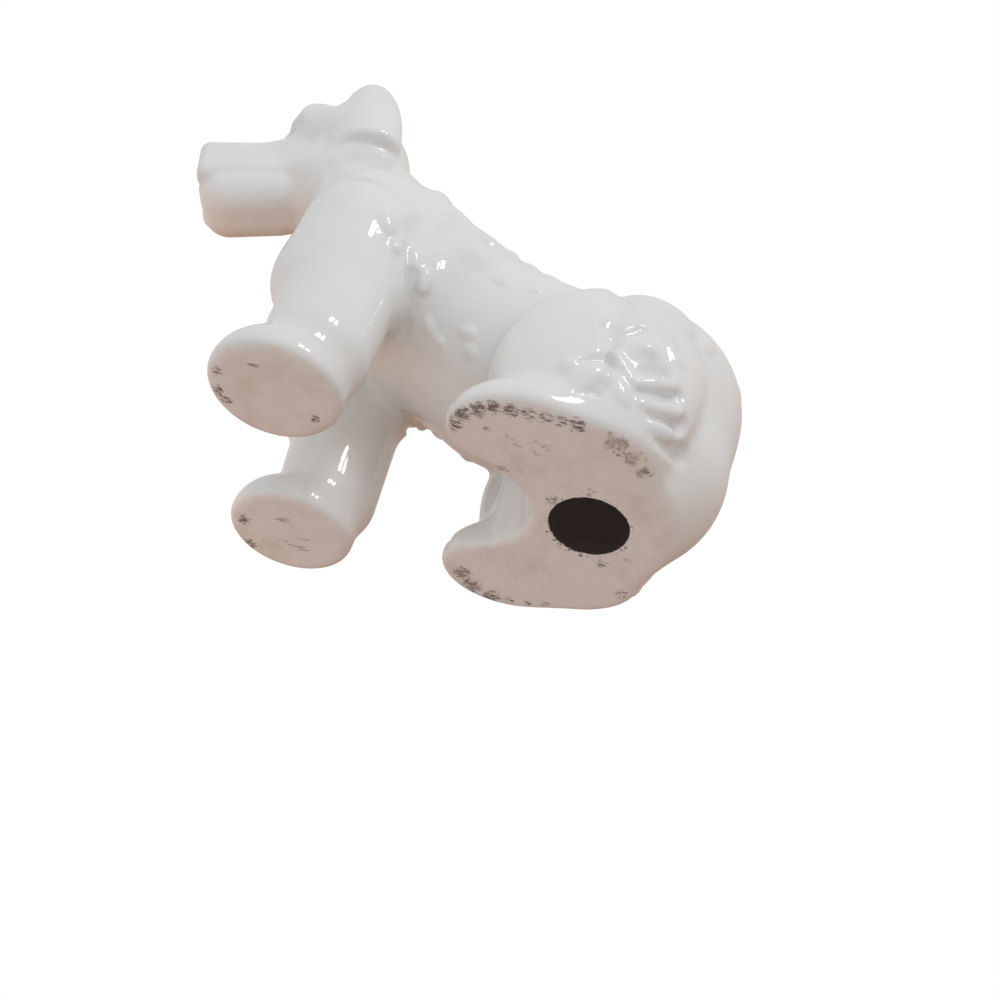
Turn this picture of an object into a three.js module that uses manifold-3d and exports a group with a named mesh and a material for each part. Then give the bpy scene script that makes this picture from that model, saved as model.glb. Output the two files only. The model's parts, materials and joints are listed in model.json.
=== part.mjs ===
// Seated schnauzer ornament: hollow slip-cast ceramic castings, luted together with slip and glazed white.
// Millimetres, +Z up. The dog faces -Y, and its left side is +X. It is shaped with the vent hole on Z.
import * as THREE from 'three';
import { mergeVertices } from 'three/addons/utils/BufferGeometryUtils.js';
import Module from 'manifold-3d';

const wasm = await Module();
wasm.setup();

// Castings and their joints
const WALL = 4; // thickness of the hollow castings
const BASE_WALL = 4.5; // thickness of the floor over the base flat
const VENT_DIAMETER = 20; // hole in the base that lets the firing gases out
const LUTING = 1.5; // room for the slip between two castings
const CLEARANCE = 0.3; // gap kept between neighbouring solids

// Trunk: reach is the distance ahead of the vent hole, height the distance above the table
const RUMP_REACH = -5;
const RUMP_HEIGHT = 42;
const RUMP_RADIUS = 30;
const SEAT_HEIGHT = 21;
const SEAT_RADIUS = 26.5;
const LOIN_REACH = 28.5;
const LOIN_HEIGHT = 51.5;
const LOIN_RADIUS = 26.5;
const RIB_REACH = 58;
const RIB_HEIGHT = 70.5;
const RIB_RADIUS = 27;
const CHEST_REACH = 72.5;
const CHEST_HEIGHT = 84;
const CHEST_RADIUS = 25.5;
const BREAST_RADIUS = 22; // rounded front below the chest
const BREAST_DROP = 14; // how far its centre lies below the chest's
const BREAST_LEAD = 11; // and ahead of it

// Haunches, hind paws and the base they share
const HAUNCH_SPREAD = 47; // between the centres of the two thighs
const HAUNCH_THICKNESS = 30;
const HAUNCH_LENGTH = 53;
const HAUNCH_HEIGHT = 59.5; // top of the thigh above the table
const HAUNCH_MIDDLE = 26; // height of its widest level
const HAUNCH_REACH = 5;
const PAD_WIDTH = 68; // mass that joins the thighs over the base flat
const PAD_LENGTH = 48;
const PAD_HEIGHT = 34;
const PAD_MIDDLE = 8;
const PAD_REACH = 4;
const HIND_PAW_SPREAD = 49;
const HIND_PAW_WIDTH = 27;
const HIND_PAW_LENGTH = 37.5;
const HIND_PAW_HEIGHT = 14.5;
const HIND_PAW_MIDDLE = 3;
const HIND_PAW_REACH = 18.5;
const NOTCH_WIDTH = 29; // gap between the hind paws
const NOTCH_DEPTH = 18.5; // from its middle to its rounded end
const NOTCH_HEIGHT = 20;
const NOTCH_MIDDLE = -2;
const NOTCH_REACH = 33;

// Forelegs and front feet
const FOOT_SPREAD = 52;
const FOOT_REACH = 79.3;
const FOOT_WIDTH = 29.5;
const FOOT_LENGTH = 32.6;
const FOOT_HEIGHT = 18.5;
const FOOT_MIDDLE = 5.5;
const LEG_RADIUS = 12.8; // at the pastern
const PASTERN_SETBACK = 5.8; // behind the middle of the foot
const PASTERN_HEIGHT = 16;
const SHOULDER_RADIUS = 15;
const SHOULDER_SPREAD = 44;
const SHOULDER_DROP = 20; // below the middle of the chest
const SHOULDER_LEAD = 5.5; // and ahead of it
const LEG_SEAM_HEIGHT = 38; // where the foreleg castings are luted on

// Neck
const NECK_BASE_RADIUS = 22;
const NECK_BASE_LEAD = 2.5; // ahead of the middle of the chest
const NECK_BASE_RISE = 7; // above it
const NECK_TOP_RADIUS = 15.5;
const NECK_TOP_SETBACK = 7.5; // behind the middle of the skull
const NECK_TOP_DROP = 17.5; // below it
const NECK_SEAM_RISE = 20; // where the head casting is luted on, measured along the neck
const COLLAR_RADIUS = 14; // fuller coat that runs from each shoulder up to the jaw
const COLLAR_SPREAD = 14;
const COLLAR_REACH = 94.5;
const COLLAR_HEIGHT = 118;

// Head: lead is ahead of the middle of the skull, rise above it
const SKULL_REACH = 101.5;
const SKULL_HEIGHT = 138.5;
const SKULL_WIDTH = 40;
const SKULL_LENGTH = 36;
const SKULL_DEPTH = 34;
const CHEEK_WIDTH = 31;
const CHEEK_LENGTH = 28;
const CHEEK_DEPTH = 28;
const CHEEK_LEAD = 5.5;
const CHEEK_RISE = -17;
const MUZZLE_WIDTH = 23;
const MUZZLE_LENGTH = 34;
const MUZZLE_DEPTH = 24.5;
const MUZZLE_ROUNDING = 4.5;
const MUZZLE_PITCH = 14; // degrees, nose down
const MUZZLE_LEAD = 26.5;
const MUZZLE_RISE = -20;
const BRIDGE_WIDTH = 24; // slope from the muzzle up to the brows
const BRIDGE_LENGTH = 28;
const BRIDGE_DEPTH = 20;
const BRIDGE_PITCH = 30;
const BRIDGE_LEAD = 15.5;
const BRIDGE_RISE = -8.5;
const BROW_WIDTH = 17;
const BROW_LENGTH = 16;
const BROW_DEPTH = 15;
const BROW_SPREAD = 18;
const BROW_LEAD = 14.5;
const BROW_RISE = 4.5;
const EAR_THICKNESS = 12;
const EAR_LENGTH = 21; // front to back
const EAR_DROP = 37; // from the fold at its top down to its tip
const EAR_INSET = 1; // how far its middle lies inside the side of the skull
const EAR_LEAD = -5.5;
const EAR_RISE = 1.5;

// Docked tail, lying up the back of the rump
const TAIL_LENGTH = 17.5; // between the middles of its two round ends
const TAIL_ROOT_RADIUS = 7.5;
const TAIL_TIP_RADIUS = 6.5;
const TAIL_ANGLE = 32; // degrees above the horizontal, seen from the middle of the rump
const TAIL_LEAN = 24; // degrees, tip leaning forwards
const TAIL_SINK = 4; // how far the middle of its root lies inside the rump

// Fillets where the forms run into each other
const TRUNK_FILLET = 3;
const BREAST_FILLET = 6;
const NECK_FILLET = 10;
const COLLAR_FILLET = 12;
const FOOT_FILLET = 4;
const MUZZLE_FILLET = 5;
const BRIDGE_FILLET = 6;
const BROW_FILLET = 4;
const HEAD_FILLET = 8;

// How finely the skins are divided
const TRUNK_SKIN = { caps: 10, sides: 36, rings: 12 };
const HEAD_SKIN = { caps: 12, sides: 36, rings: 8 };
const LEG_SKIN = { caps: 8, sides: 24, rings: 6 };
const CAVITY_SKIN = { caps: 7, sides: 20, rings: 6 };
const TAIL_SKIN = { caps: 6, sides: 16, rings: 4 };
const ROUND_SIDES = 24; // ellipsoids and the vent hole

// Places of the forms
const at = (spread, reach, height) => new THREE.Vector3(spread / 2, -reach, height);
const size = (width, length, depth) => new THREE.Vector3(width / 2, length / 2, depth / 2);

const rump = at(0, RUMP_REACH, RUMP_HEIGHT);
const seat = at(0, RUMP_REACH, SEAT_HEIGHT);
const loin = at(0, LOIN_REACH, LOIN_HEIGHT);
const ribs = at(0, RIB_REACH, RIB_HEIGHT);
const chest = at(0, CHEST_REACH, CHEST_HEIGHT);
const breast = at(0, CHEST_REACH + BREAST_LEAD, CHEST_HEIGHT - BREAST_DROP);
const notch = at(0, NOTCH_REACH, NOTCH_MIDDLE);
const foot = at(FOOT_SPREAD, FOOT_REACH, FOOT_MIDDLE);
const pastern = at(FOOT_SPREAD, FOOT_REACH - PASTERN_SETBACK, PASTERN_HEIGHT);
const shoulder = at(SHOULDER_SPREAD, CHEST_REACH + SHOULDER_LEAD, CHEST_HEIGHT - SHOULDER_DROP);
const skull = at(0, SKULL_REACH, SKULL_HEIGHT);
const neckBase = at(0, CHEST_REACH + NECK_BASE_LEAD, CHEST_HEIGHT + NECK_BASE_RISE);
const neckTop = at(0, SKULL_REACH - NECK_TOP_SETBACK, SKULL_HEIGHT - NECK_TOP_DROP);
const collarTop = at(COLLAR_SPREAD, COLLAR_REACH, COLLAR_HEIGHT);
const onHead = (spread, lead, rise) => at(spread, SKULL_REACH + lead, SKULL_HEIGHT + rise);
const muzzle = onHead(0, MUZZLE_LEAD, MUZZLE_RISE);
const cheek = onHead(0, CHEEK_LEAD, CHEEK_RISE);

const tailAngle = THREE.MathUtils.degToRad(TAIL_ANGLE);
const tailLean = THREE.MathUtils.degToRad(TAIL_LEAN);
const tailOut = new THREE.Vector3(0, Math.cos(tailAngle), Math.sin(tailAngle));
const tailRoot = rump.clone().addScaledVector(tailOut, RUMP_RADIUS - TAIL_SINK);
const tailAlong = new THREE.Vector3(0, -Math.sin(tailLean), Math.cos(tailLean));
const tailTip = tailRoot.clone().addScaledVector(tailAlong, TAIL_LENGTH);

// A form is a function of a point that gives its distance to the form's surface, negative inside.

// Ellipsoid, tipped nose-down by pitch degrees.
function ellipsoid(centre, radii, pitch = 0) {
  const angle = THREE.MathUtils.degToRad(pitch);
  const cosine = Math.cos(angle);
  const sine = Math.sin(angle);
  return (p) => {
    const dy = p.y - centre.y;
    const dz = p.z - centre.z;
    const x = (p.x - centre.x) / radii.x;
    const y = (cosine * dy + sine * dz) / radii.y;
    const z = (cosine * dz - sine * dy) / radii.z;
    const level = Math.hypot(x, y, z);
    const slope = Math.hypot(x / radii.x, y / radii.y, z / radii.z);
    return slope > 0 ? level * (level - 1) / slope : -Math.min(radii.x, radii.y, radii.z);
  };
}

// Two balls and the cone that touches both.
function taper(from, to, fromRadius, toRadius) {
  const along = to.clone().sub(from);
  const length = along.length();
  along.divideScalar(length);
  const sine = (fromRadius - toRadius) / length;
  const cosine = Math.sqrt(1 - sine * sine);
  const offset = new THREE.Vector3();
  return (p) => {
    offset.copy(p).sub(from);
    const ahead = offset.dot(along);
    const aside = Math.sqrt(Math.max(offset.lengthSq() - ahead * ahead, 0));
    const level = ahead * cosine - aside * sine;
    if (level <= 0) return Math.hypot(ahead, aside) - fromRadius;
    if (level >= length * cosine) return Math.hypot(ahead - length, aside) - toRadius;
    return aside * cosine + ahead * sine - fromRadius;
  };
}

// Block with rounded edges, tipped nose-down by pitch degrees.
function roundedBlock(centre, half, rounding, pitch) {
  const angle = THREE.MathUtils.degToRad(pitch);
  const cosine = Math.cos(angle);
  const sine = Math.sin(angle);
  return (p) => {
    const dy = p.y - centre.y;
    const dz = p.z - centre.z;
    const x = Math.abs(p.x - centre.x) - half.x + rounding;
    const y = Math.abs(cosine * dy + sine * dz) - half.y + rounding;
    const z = Math.abs(cosine * dz - sine * dy) - half.z + rounding;
    const outside = Math.hypot(Math.max(x, 0), Math.max(y, 0), Math.max(z, 0));
    return outside + Math.min(Math.max(x, y, z), 0) - rounding;
  };
}

// The same point on the left or the right of the dog.
const onSide = (point, side) => point.clone().setX(side * point.x);

// The same form on both sides of the dog.
function pair(form) {
  const folded = new THREE.Vector3();
  return (p) => form(folded.set(Math.abs(p.x), p.y, p.z));
}

// Union of two forms with a fillet in the crease.
function join(a, b, fillet) {
  return (p) => {
    const da = a(p);
    const db = b(p);
    const near = Math.max(fillet - Math.abs(da - db), 0) / fillet;
    return Math.min(da, db) - near * near * fillet / 4;
  };
}

// What every one of some forms holds.
const within = (...forms) => (p) => Math.max(...forms.map((form) => form(p)));

// A form swollen by some amount, or shrunk by a negative one.
const swell = (form, amount) => (p) => form(p) - amount;

// Everything behind a plane, as a form.
const behind = (plane) => (p) => plane.distanceToPoint(p);

// The trunk and neck, the hollow castings' main mass.
function trunkForm() {
  const hind = taper(rump, loin, RUMP_RADIUS, LOIN_RADIUS);
  const middle = taper(loin, ribs, LOIN_RADIUS, RIB_RADIUS);
  const front = taper(ribs, chest, RIB_RADIUS, CHEST_RADIUS);
  const lower = taper(rump, seat, RUMP_RADIUS, SEAT_RADIUS);
  let form = join(join(hind, middle, TRUNK_FILLET), front, TRUNK_FILLET);
  form = join(form, lower, TRUNK_FILLET);
  const breastSize = new THREE.Vector3().setScalar(BREAST_RADIUS);
  form = join(form, ellipsoid(breast, breastSize), BREAST_FILLET);
  form = join(form, taper(neckBase, neckTop, NECK_BASE_RADIUS, NECK_TOP_RADIUS), NECK_FILLET);
  const collar = taper(shoulder, collarTop, SHOULDER_RADIUS, COLLAR_RADIUS);
  return join(form, pair(collar), COLLAR_FILLET);
}

// One foreleg, from the shoulder down to the foot.
function legForm(side) {
  const leg = taper(onSide(pastern, side), onSide(shoulder, side), LEG_RADIUS, SHOULDER_RADIUS);
  const footSize = size(FOOT_WIDTH, FOOT_LENGTH, 2 * (FOOT_HEIGHT - FOOT_MIDDLE));
  return join(leg, ellipsoid(onSide(foot, side), footSize), FOOT_FILLET);
}

// Rounded back of the head, which is all of it that is hollow.
function craniumForm() {
  const cranium = ellipsoid(skull, size(SKULL_WIDTH, SKULL_LENGTH, SKULL_DEPTH));
  const jowls = ellipsoid(cheek, size(CHEEK_WIDTH, CHEEK_LENGTH, CHEEK_DEPTH));
  return join(cranium, jowls, HEAD_FILLET);
}

// Muzzle with its beard, and the brows.
function face(form) {
  const muzzleSize = size(MUZZLE_WIDTH, MUZZLE_LENGTH, MUZZLE_DEPTH);
  const snout = roundedBlock(muzzle, muzzleSize, MUZZLE_ROUNDING, MUZZLE_PITCH);
  const bridgeSize = size(BRIDGE_WIDTH, BRIDGE_LENGTH, BRIDGE_DEPTH);
  const bridge = ellipsoid(onHead(0, BRIDGE_LEAD, BRIDGE_RISE), bridgeSize, BRIDGE_PITCH);
  const browSize = size(BROW_WIDTH, BROW_LENGTH, BROW_DEPTH);
  const brow = ellipsoid(onHead(BROW_SPREAD, BROW_LEAD, BROW_RISE), browSize);
  form = join(form, snout, MUZZLE_FILLET);
  form = join(form, bridge, BRIDGE_FILLET);
  return join(form, pair(brow), BROW_FILLET);
}

const trunk = trunkForm();
const cranium = craniumForm();
const figureForm = join(trunk, face(cranium), HEAD_FILLET);
const hollowForm = swell(join(trunk, cranium, HEAD_FILLET), -WALL);
const notchSize = new THREE.Vector3(NOTCH_WIDTH / 2, NOTCH_DEPTH, NOTCH_HEIGHT - NOTCH_MIDDLE);
const notchForm = ellipsoid(notch, notchSize);

// Seams: the head's lies across the neck, the forelegs' are level.
const neckAlong = neckTop.clone().sub(neckBase).normalize();
const neckMiddle = neckBase.clone().addScaledVector(neckAlong, NECK_SEAM_RISE);
const legAlong = new THREE.Vector3(0, 0, 1);
const legMiddle = pastern.clone().setZ(LEG_SEAM_HEIGHT);
const overshoot = LUTING + WALL; // how far a skin runs past its seam before it is cut there

// Plane across a seam, moved along it, whose front faces the way it points.
function seamPlane(middle, along, shift) {
  return new THREE.Plane().setFromNormalAndCoplanarPoint(along, middle.clone().addScaledVector(along, shift));
}

const opposite = (plane) => plane.clone().negate();

// Solid of a closed geometry, with its shared corners merged and flattened triangles left out.
function solid(geometry) {
  geometry.deleteAttribute('normal');
  geometry.deleteAttribute('uv');
  const merged = mergeVertices(geometry);
  const corners = Array.from(merged.index.array);
  const triangles = [];
  for (let i = 0; i < corners.length; i += 3) {
    const [a, b, c] = corners.slice(i, i + 3);
    if (a !== b && b !== c && c !== a) triangles.push(a, b, c);
  }
  const vertProperties = new Float32Array(merged.attributes.position.array);
  const triVerts = new Uint32Array(triangles);
  return new wasm.Manifold(new wasm.Mesh({ numProp: 3, vertProperties, triVerts }));
}

const castStep = WALL / 3; // step of the search outwards from a spine
const halvings = 18; // refinements of each point on a skin

// Skin of a form: a capsule round a spine inside it, whose points move straight out to the form's surface.
function skin(form, from, to, { caps, sides, rings }) {
  const along = to.clone().sub(from);
  const length = along.length();
  const turn = new THREE.Quaternion().setFromUnitVectors(THREE.Object3D.DEFAULT_UP, along.normalize());
  const middle = from.clone().add(to).divideScalar(2);
  const geometry = new THREE.CapsuleGeometry(1, length, caps, sides, rings);
  const { position, normal } = geometry.attributes;
  const start = new THREE.Vector3();
  const out = new THREE.Vector3();
  const probe = new THREE.Vector3();
  for (let i = 0; i < position.count; i++) {
    out.fromBufferAttribute(normal, i);
    start.fromBufferAttribute(position, i).sub(out).applyQuaternion(turn).add(middle);
    out.applyQuaternion(turn);
    let inner = 0;
    while (form(probe.copy(start).addScaledVector(out, inner + castStep)) < 0) inner += castStep;
    let outer = inner + castStep;
    for (let halving = 0; halving < halvings; halving++) {
      const half = (inner + outer) / 2;
      if (form(probe.copy(start).addScaledVector(out, half)) < 0) inner = half;
      else outer = half;
    }
    probe.copy(start).addScaledVector(out, inner);
    position.setXYZ(i, probe.x, probe.y, probe.z);
  }
  return solid(geometry);
}

// Solid ellipsoid.
function roundSolid(centre, radii) {
  const geometry = new THREE.SphereGeometry(1, ROUND_SIDES, ROUND_SIDES / 2);
  geometry.rotateX(Math.PI / 2);
  geometry.scale(radii.x, radii.y, radii.z);
  geometry.translate(centre.x, centre.y, centre.z);
  return solid(geometry);
}

const blockSize = 4 * SKULL_HEIGHT; // side of the cutting blocks, larger than the whole figure

// Block that fills everything in front of a plane.
function blockBefore(plane) {
  const geometry = new THREE.BoxGeometry(blockSize, blockSize, blockSize);
  geometry.translate(0, 0, blockSize / 2);
  const facing = new THREE.Vector3(0, 0, 1);
  geometry.applyQuaternion(new THREE.Quaternion().setFromUnitVectors(facing, plane.normal));
  const onPlane = plane.coplanarPoint(new THREE.Vector3());
  geometry.translate(onPlane.x, onPlane.y, onPlane.z);
  return solid(geometry);
}

const table = new THREE.Plane(legAlong.clone().negate(), 0);
const underTable = blockBefore(table);

// Spines: lines well inside the forms, from which their skins are cast
const between = (from, to, share) => from.clone().lerp(to, share);
const trunkSpine = [rump, ribs];
const headSpine = [between(neckTop, cheek, 1 / 3), between(muzzle, cheek, 1 / 3)];
const craniumSpine = [neckTop, between(cheek, skull, 1 / 2)];

// Outside of the trunk and lower neck, run past the neck seam and grown where it has to make room.
function trunkSkin(grow = 0) {
  const neckEnd = behind(seamPlane(neckMiddle, neckAlong, overshoot));
  return skin(within(swell(figureForm, grow), neckEnd), ...trunkSpine, TRUNK_SKIN);
}

// Outside of the head and upper neck, run past the neck seam and grown where it has to make room.
function headSkin(grow = 0) {
  const neckEnd = behind(opposite(seamPlane(neckMiddle, neckAlong, -overshoot)));
  return skin(within(swell(figureForm, grow), neckEnd), ...headSpine, HEAD_SKIN);
}

// Hollow of the trunk and neck, kept a wall away from the base, from the notch and from the outside.
function trunkHollow() {
  const floor = new THREE.Plane(table.normal, BASE_WALL);
  const clearOfNotch = (p) => WALL - notchForm(p);
  const neckEnd = behind(seamPlane(neckMiddle, neckAlong, overshoot));
  return skin(within(hollowForm, behind(floor), clearOfNotch, neckEnd), ...trunkSpine, CAVITY_SKIN);
}

// Hollow of the head, which runs down through the neck seam.
function headHollow() {
  const neckEnd = behind(opposite(seamPlane(neckMiddle, neckAlong, -overshoot)));
  return skin(within(hollowForm, neckEnd), ...craniumSpine, CAVITY_SKIN);
}

// Whole foreleg, from inside the shoulder down to the foot.
function wholeLeg(side) {
  return skin(legForm(side), onSide(pastern, side), onSide(shoulder, side), LEG_SKIN);
}

// Thigh and hind paw on one side.
function hindLeg(side) {
  const haunchSize = size(HAUNCH_THICKNESS, HAUNCH_LENGTH, 2 * (HAUNCH_HEIGHT - HAUNCH_MIDDLE));
  const pawSize = size(HIND_PAW_WIDTH, HIND_PAW_LENGTH, 2 * (HIND_PAW_HEIGHT - HIND_PAW_MIDDLE));
  const haunch = at(HAUNCH_SPREAD, HAUNCH_REACH, HAUNCH_MIDDLE);
  const paw = at(HIND_PAW_SPREAD, HIND_PAW_REACH, HIND_PAW_MIDDLE);
  return roundSolid(onSide(haunch, side), haunchSize).add(roundSolid(onSide(paw, side), pawSize));
}

// Part of a solid ahead of a seam, from some shift along it.
function aheadOf(piece, middle, along, shift) {
  return piece.subtract(blockBefore(opposite(seamPlane(middle, along, shift))));
}

// Part of a solid behind a seam, up to some shift along it.
function backOf(piece, middle, along, shift) {
  return piece.subtract(blockBefore(seamPlane(middle, along, shift)));
}

// Slice of a solid that fills a seam with slip.
function fillSeam(piece, middle, along) {
  return backOf(aheadOf(piece, middle, along, CLEARANCE), middle, along, LUTING - CLEARANCE);
}

const trunkOutside = trunkSkin();
const trunkInside = trunkHollow();
const trunkRoom = trunkSkin(CLEARANCE);
const headRoom = headSkin(CLEARANCE);

// Main casting, with its base flat, hind-paw notch, vent hole and seam faces.
function bodyShell() {
  const padSize = size(PAD_WIDTH, PAD_LENGTH, 2 * (PAD_HEIGHT - PAD_MIDDLE));
  const pad = roundSolid(at(0, PAD_REACH, PAD_MIDDLE), padSize);
  const ventLength = 4 * BASE_WALL; // half of it lies under the table
  const vent = new THREE.CylinderGeometry(VENT_DIAMETER / 2, VENT_DIAMETER / 2, ventLength, ROUND_SIDES);
  vent.rotateX(Math.PI / 2);
  let body = backOf(trunkOutside, neckMiddle, neckAlong, 0).add(pad);
  for (const side of [1, -1]) {
    body = body.add(hindLeg(side)).add(aheadOf(wholeLeg(side), legMiddle, legAlong, LUTING));
  }
  body = body.subtract(underTable).subtract(trunkInside);
  return body.subtract(roundSolid(notch, notchSize)).subtract(solid(vent));
}

// Head casting, open where it meets the neck.
function headShell() {
  return aheadOf(headSkin(), neckMiddle, neckAlong, LUTING).subtract(headHollow());
}

// Slip that fills the neck seam between the two castings.
function neckLuting() {
  return fillSeam(trunkOutside.subtract(trunkInside), neckMiddle, neckAlong);
}

// Foreleg casting, flat under the foot and at its seam.
function foreleg(side) {
  return backOf(wholeLeg(side), legMiddle, legAlong, 0).subtract(underTable).subtract(trunkRoom);
}

// Slip between a foreleg and its stub.
function legLuting(side) {
  return fillSeam(wholeLeg(side), legMiddle, legAlong).subtract(trunkRoom);
}

// Drop ear, shaped to the side of the head that it is stuck to.
function ear(side) {
  const middle = onHead(SKULL_WIDTH - 2 * EAR_INSET, EAR_LEAD, EAR_RISE);
  return roundSolid(onSide(middle, side), size(EAR_THICKNESS, EAR_LENGTH, EAR_DROP)).subtract(headRoom);
}

// Docked tail, shaped to the rump.
function dockedTail() {
  const form = taper(tailRoot, tailTip, TAIL_ROOT_RADIUS, TAIL_TIP_RADIUS);
  return skin(form, tailRoot, tailTip, TAIL_SKIN).subtract(trunkRoom);
}

const glaze = { color: 0xe9e9e6, roughness: 0.12, metalness: 0 };
const bareClay = { color: 0xc4b3a5, roughness: 0.85, metalness: 0 };

// Named mesh of one piece.
function mesh(name, piece, finish) {
  const { vertProperties, triVerts } = piece.getMesh();
  const geometry = new THREE.BufferGeometry();
  geometry.setAttribute('position', new THREE.BufferAttribute(vertProperties, 3));
  geometry.setIndex(new THREE.BufferAttribute(triVerts, 1));
  geometry.computeVertexNormals();
  const made = new THREE.Mesh(geometry, new THREE.MeshStandardMaterial(finish));
  made.name = name;
  return made;
}

const figure = new THREE.Group();
figure.add(mesh('body_shell', bodyShell(), glaze));
figure.add(mesh('head_shell', headShell(), glaze));
figure.add(mesh('neck_luting', neckLuting(), bareClay));
for (const [name, side] of [['left', 1], ['right', -1]]) {
  figure.add(mesh(`${name}_foreleg`, foreleg(side), glaze));
  figure.add(mesh(`${name}_foreleg_luting`, legLuting(side), bareClay));
  figure.add(mesh(`${name}_ear`, ear(side), glaze));
}
figure.add(mesh('tail', dockedTail(), glaze));

// The finished figure stands with the middle of its footprint on the origin.
const reach = new THREE.Box3().setFromObject(figure).getCenter(new THREE.Vector3());
figure.position.set(0, -reach.y, 0);

export default figure;
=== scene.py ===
"""Seated schnauzer ornament in white glazed slip-cast ceramic, dressed over its castings.

Lengths are metres, +Z is up, the dog faces -Y and its left side is +X. A place is given as how far it lies
across from the middle, ahead of the vent hole and above the table. A form is a function that gives the
distance of points to its surface, negative inside, and forms are joined with fillets as damp clay is.
"""
import copy
import json
import math
from typing import NamedTuple

import bpy
import numpy as np
from bpy.props import FloatProperty, FloatVectorProperty, PointerProperty
from mathutils import Matrix, Vector


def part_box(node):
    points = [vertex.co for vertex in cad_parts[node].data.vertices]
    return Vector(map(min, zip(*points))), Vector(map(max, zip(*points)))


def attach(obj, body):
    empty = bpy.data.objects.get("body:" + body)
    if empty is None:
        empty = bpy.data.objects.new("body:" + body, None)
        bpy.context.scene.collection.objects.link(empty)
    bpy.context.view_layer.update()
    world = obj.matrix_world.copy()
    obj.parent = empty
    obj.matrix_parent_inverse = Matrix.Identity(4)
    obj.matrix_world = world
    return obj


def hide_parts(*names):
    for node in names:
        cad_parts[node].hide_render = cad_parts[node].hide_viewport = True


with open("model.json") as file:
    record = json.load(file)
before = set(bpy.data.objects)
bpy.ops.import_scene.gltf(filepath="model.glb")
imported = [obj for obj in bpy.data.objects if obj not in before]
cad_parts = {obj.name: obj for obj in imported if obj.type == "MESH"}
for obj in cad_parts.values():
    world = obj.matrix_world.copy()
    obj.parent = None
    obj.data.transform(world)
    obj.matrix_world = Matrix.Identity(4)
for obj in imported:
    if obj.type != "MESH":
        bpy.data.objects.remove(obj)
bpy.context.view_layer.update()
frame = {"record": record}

bl_info = {
    "name": "Schnauzer Ornament",
    "version": (1, 0, 0),
    "blender": (4, 5, 0),
    "location": "3D View > Sidebar > Schnauzer",
    "description": "Seated schnauzer ornament in white glazed ceramic",
    "category": "Add Mesh",
}

MM = 0.001
TINY = 1e-12
SIDES = (("left", False), ("right", True))
OPENINGS = {opening["name"]: np.array(opening["box_m"])
            for opening in frame["record"]["physics"]["openings"]}
VENT_Y = OPENINGS["vent_hole"][:, 1].mean()


# Properties

def length(label, description, millimetres):
    """Length property, with its default in millimetres."""
    return FloatProperty(name=label, description=description, default=millimetres * MM,
                         unit="LENGTH", subtype="DISTANCE", precision=4)


def place(label, description, across, ahead, up):
    """Place property, in millimetres across, ahead of the vent hole and above the table."""
    return FloatVectorProperty(name=label, description=description, size=3, unit="LENGTH", subtype="XYZ",
                               default=(across * MM, ahead * MM, up * MM), precision=4)


def radii(label, description, across, ahead, up):
    """Property for a round form's half sizes across, ahead and up, in millimetres."""
    return FloatVectorProperty(name=label, description=description, size=3, unit="LENGTH",
                               subtype="XYZ_LENGTH", default=(across * MM, ahead * MM, up * MM), precision=4)


def angle(label, description, degrees):
    """Angle property, with its default in degrees."""
    return FloatProperty(name=label, description=description, default=math.radians(degrees), subtype="ANGLE")


def colour(label, description, red, green, blue):
    """Colour property."""
    return FloatVectorProperty(name=label, description=description, size=4, subtype="COLOR",
                               default=(red, green, blue, 1.0), min=0, max=1)


class CastingSizes(bpy.types.PropertyGroup):
    """Sizes of the hollow castings."""
    wall: length("Wall", "Thickness of the hollow castings", 4)
    base_wall: length("Base wall", "Thickness of the floor over the base flat", 4.5)
    vent_diameter: length("Vent hole", "Diameter of the hole in the base", 20)
    luting: length("Luting", "Thickness of the slip between two castings", 1.5)
    edge: length("Flat edges", "Rounding of the edges of the flats that it stands on", 2.4)
    cell: length("Cell", "Spacing of the net that the body is drawn with", 1.0)


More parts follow.
